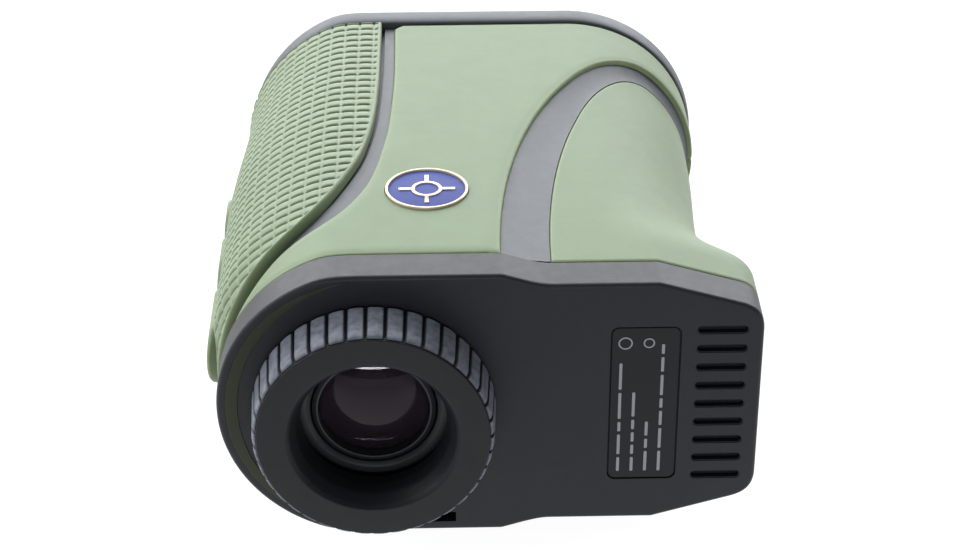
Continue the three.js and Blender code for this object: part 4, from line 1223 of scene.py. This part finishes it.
finish_piece(door, ARMOUR_RUBBER, "battery_lid", "armour", "battery_door")

latch = box_patch("hatch_latch", 9.2, 12.4, 3.5, -RECESS, ARMOUR, 0.3, 24, 30)
tongue = box("tool_tongue", 49.8, 53.6, 9.9, 11.9, -2.6, 2.6)
hook = box("tool_hook", 49.6, 50.4, 7.4, 11.9, -2.6, 2.6)
boolean(latch, "UNION", [tongue, hook])
finish_piece(latch, COVER_PLASTIC, "lid_latch", "cover", "door_latch")

# ---- floor, lights and camera
def studio_paper():
    """Pale paper that glows a little more towards the back, so that it renders without a shadow."""
    material, tree, shader = node_material("studio_paper")
    tree.links.new(blend_colours(tree, noise(tree, 60), (0.23, 0.23, 0.23), (0.25, 0.25, 0.25)),
                   shader.inputs["Base Color"])
    set_constants(shader, {"Roughness": 0.9, "Specular IOR Level": 0.1, "Emission Color": (1, 1, 1, 1)})
    axes = tree.nodes.new("ShaderNodeSeparateXYZ")
    tree.links.new(tree.nodes.new("ShaderNodeTexCoord").outputs["Object"], axes.inputs[0])
    tree.links.new(spread(tree, axes.outputs["Y"], 0.25, 0.95, (-0.16, -0.046)),
                   shader.inputs["Emission Strength"])
    return material


def studio_floor(size):
    mesh = bpy.data.meshes.new("studio_floor")
    h = size / 2
    mesh.from_pydata([(-h, -h, 0), (h, -h, 0), (h, h, 0), (-h, h, 0)], [], [(0, 1, 2, 3)])
    mesh.materials.append(studio_paper())
    return add_object("studio_floor", mesh)


floor = studio_floor(6.0)
floor.location.z = -0.0002


def studio_world(front, back):
    """A soft sky that brightens from the side behind the camera to the side behind the object."""
    world = bpy.data.worlds.new("studio")
    world.use_nodes = True
    tree = world.node_tree
    background = tree.nodes["Background"]
    split = tree.nodes.new("ShaderNodeSeparateXYZ")
    tree.links.new(tree.nodes.new("ShaderNodeTexCoord").outputs["Generated"], split.inputs[0])
    tree.links.new(spread(tree, split.outputs["Y"], front, back, (-0.6, 0.8)), background.inputs["Strength"])
    background.inputs["Color"].default_value = (0.95, 0.975, 1.0, 1)
    return world


bpy.context.scene.world = studio_world(0.06, 0.8)


def softbox(name, at, target, size, power):
    data = bpy.data.lights.new(name, "AREA")
    data.shape = "RECTANGLE"
    data.size, data.size_y = size
    data.energy = power
    data.color = (0.96, 0.98, 1.0)
    obj = add_object(name, data)
    obj.location = at
    obj.rotation_mode = "QUATERNION"
    obj.rotation_quaternion = (Vector(target) - Vector(at)).to_track_quat("-Z", "Y")


# Places and sizes in metres, power in watts.
softbox("top_light", (0.0, 0.25, 0.75), (0, 0, 0.03), (0.9, 0.7), 1.0)
softbox("back_light", (0.0, 0.85, 0.47), (0, 0, 0.03), (2.2, 0.7), 24)
softbox("left_light", (-0.7, -0.05, 0.4), (0, 0, 0.03), (0.5, 0.5), 3.2)
softbox("lens_light", (-0.02, -0.9, 0.165), (0, 0, 0.02), (0.5, 0.03), 1.6)

camera_data = bpy.data.cameras.new("camera")
camera_data.sensor_width = 36
camera_data.lens = 84.66
camera_data.clip_start = 0.01
camera = add_object("camera", camera_data)
CAMERA_AT = (9.02, -268.86, 182.25)  # mm, in the optical axes
HEADING, DIP = 1.529, 30.845  # degrees right of the line of sight, and below the horizon
camera.location = Vector(ORIGIN + np.array(CAMERA_AT) / 1000)
camera.rotation_euler = Euler((math.radians(90 - DIP), 0, math.radians(-HEADING)))
bpy.context.scene.camera = camera
bpy.context.scene.view_settings.view_transform = "Standard"
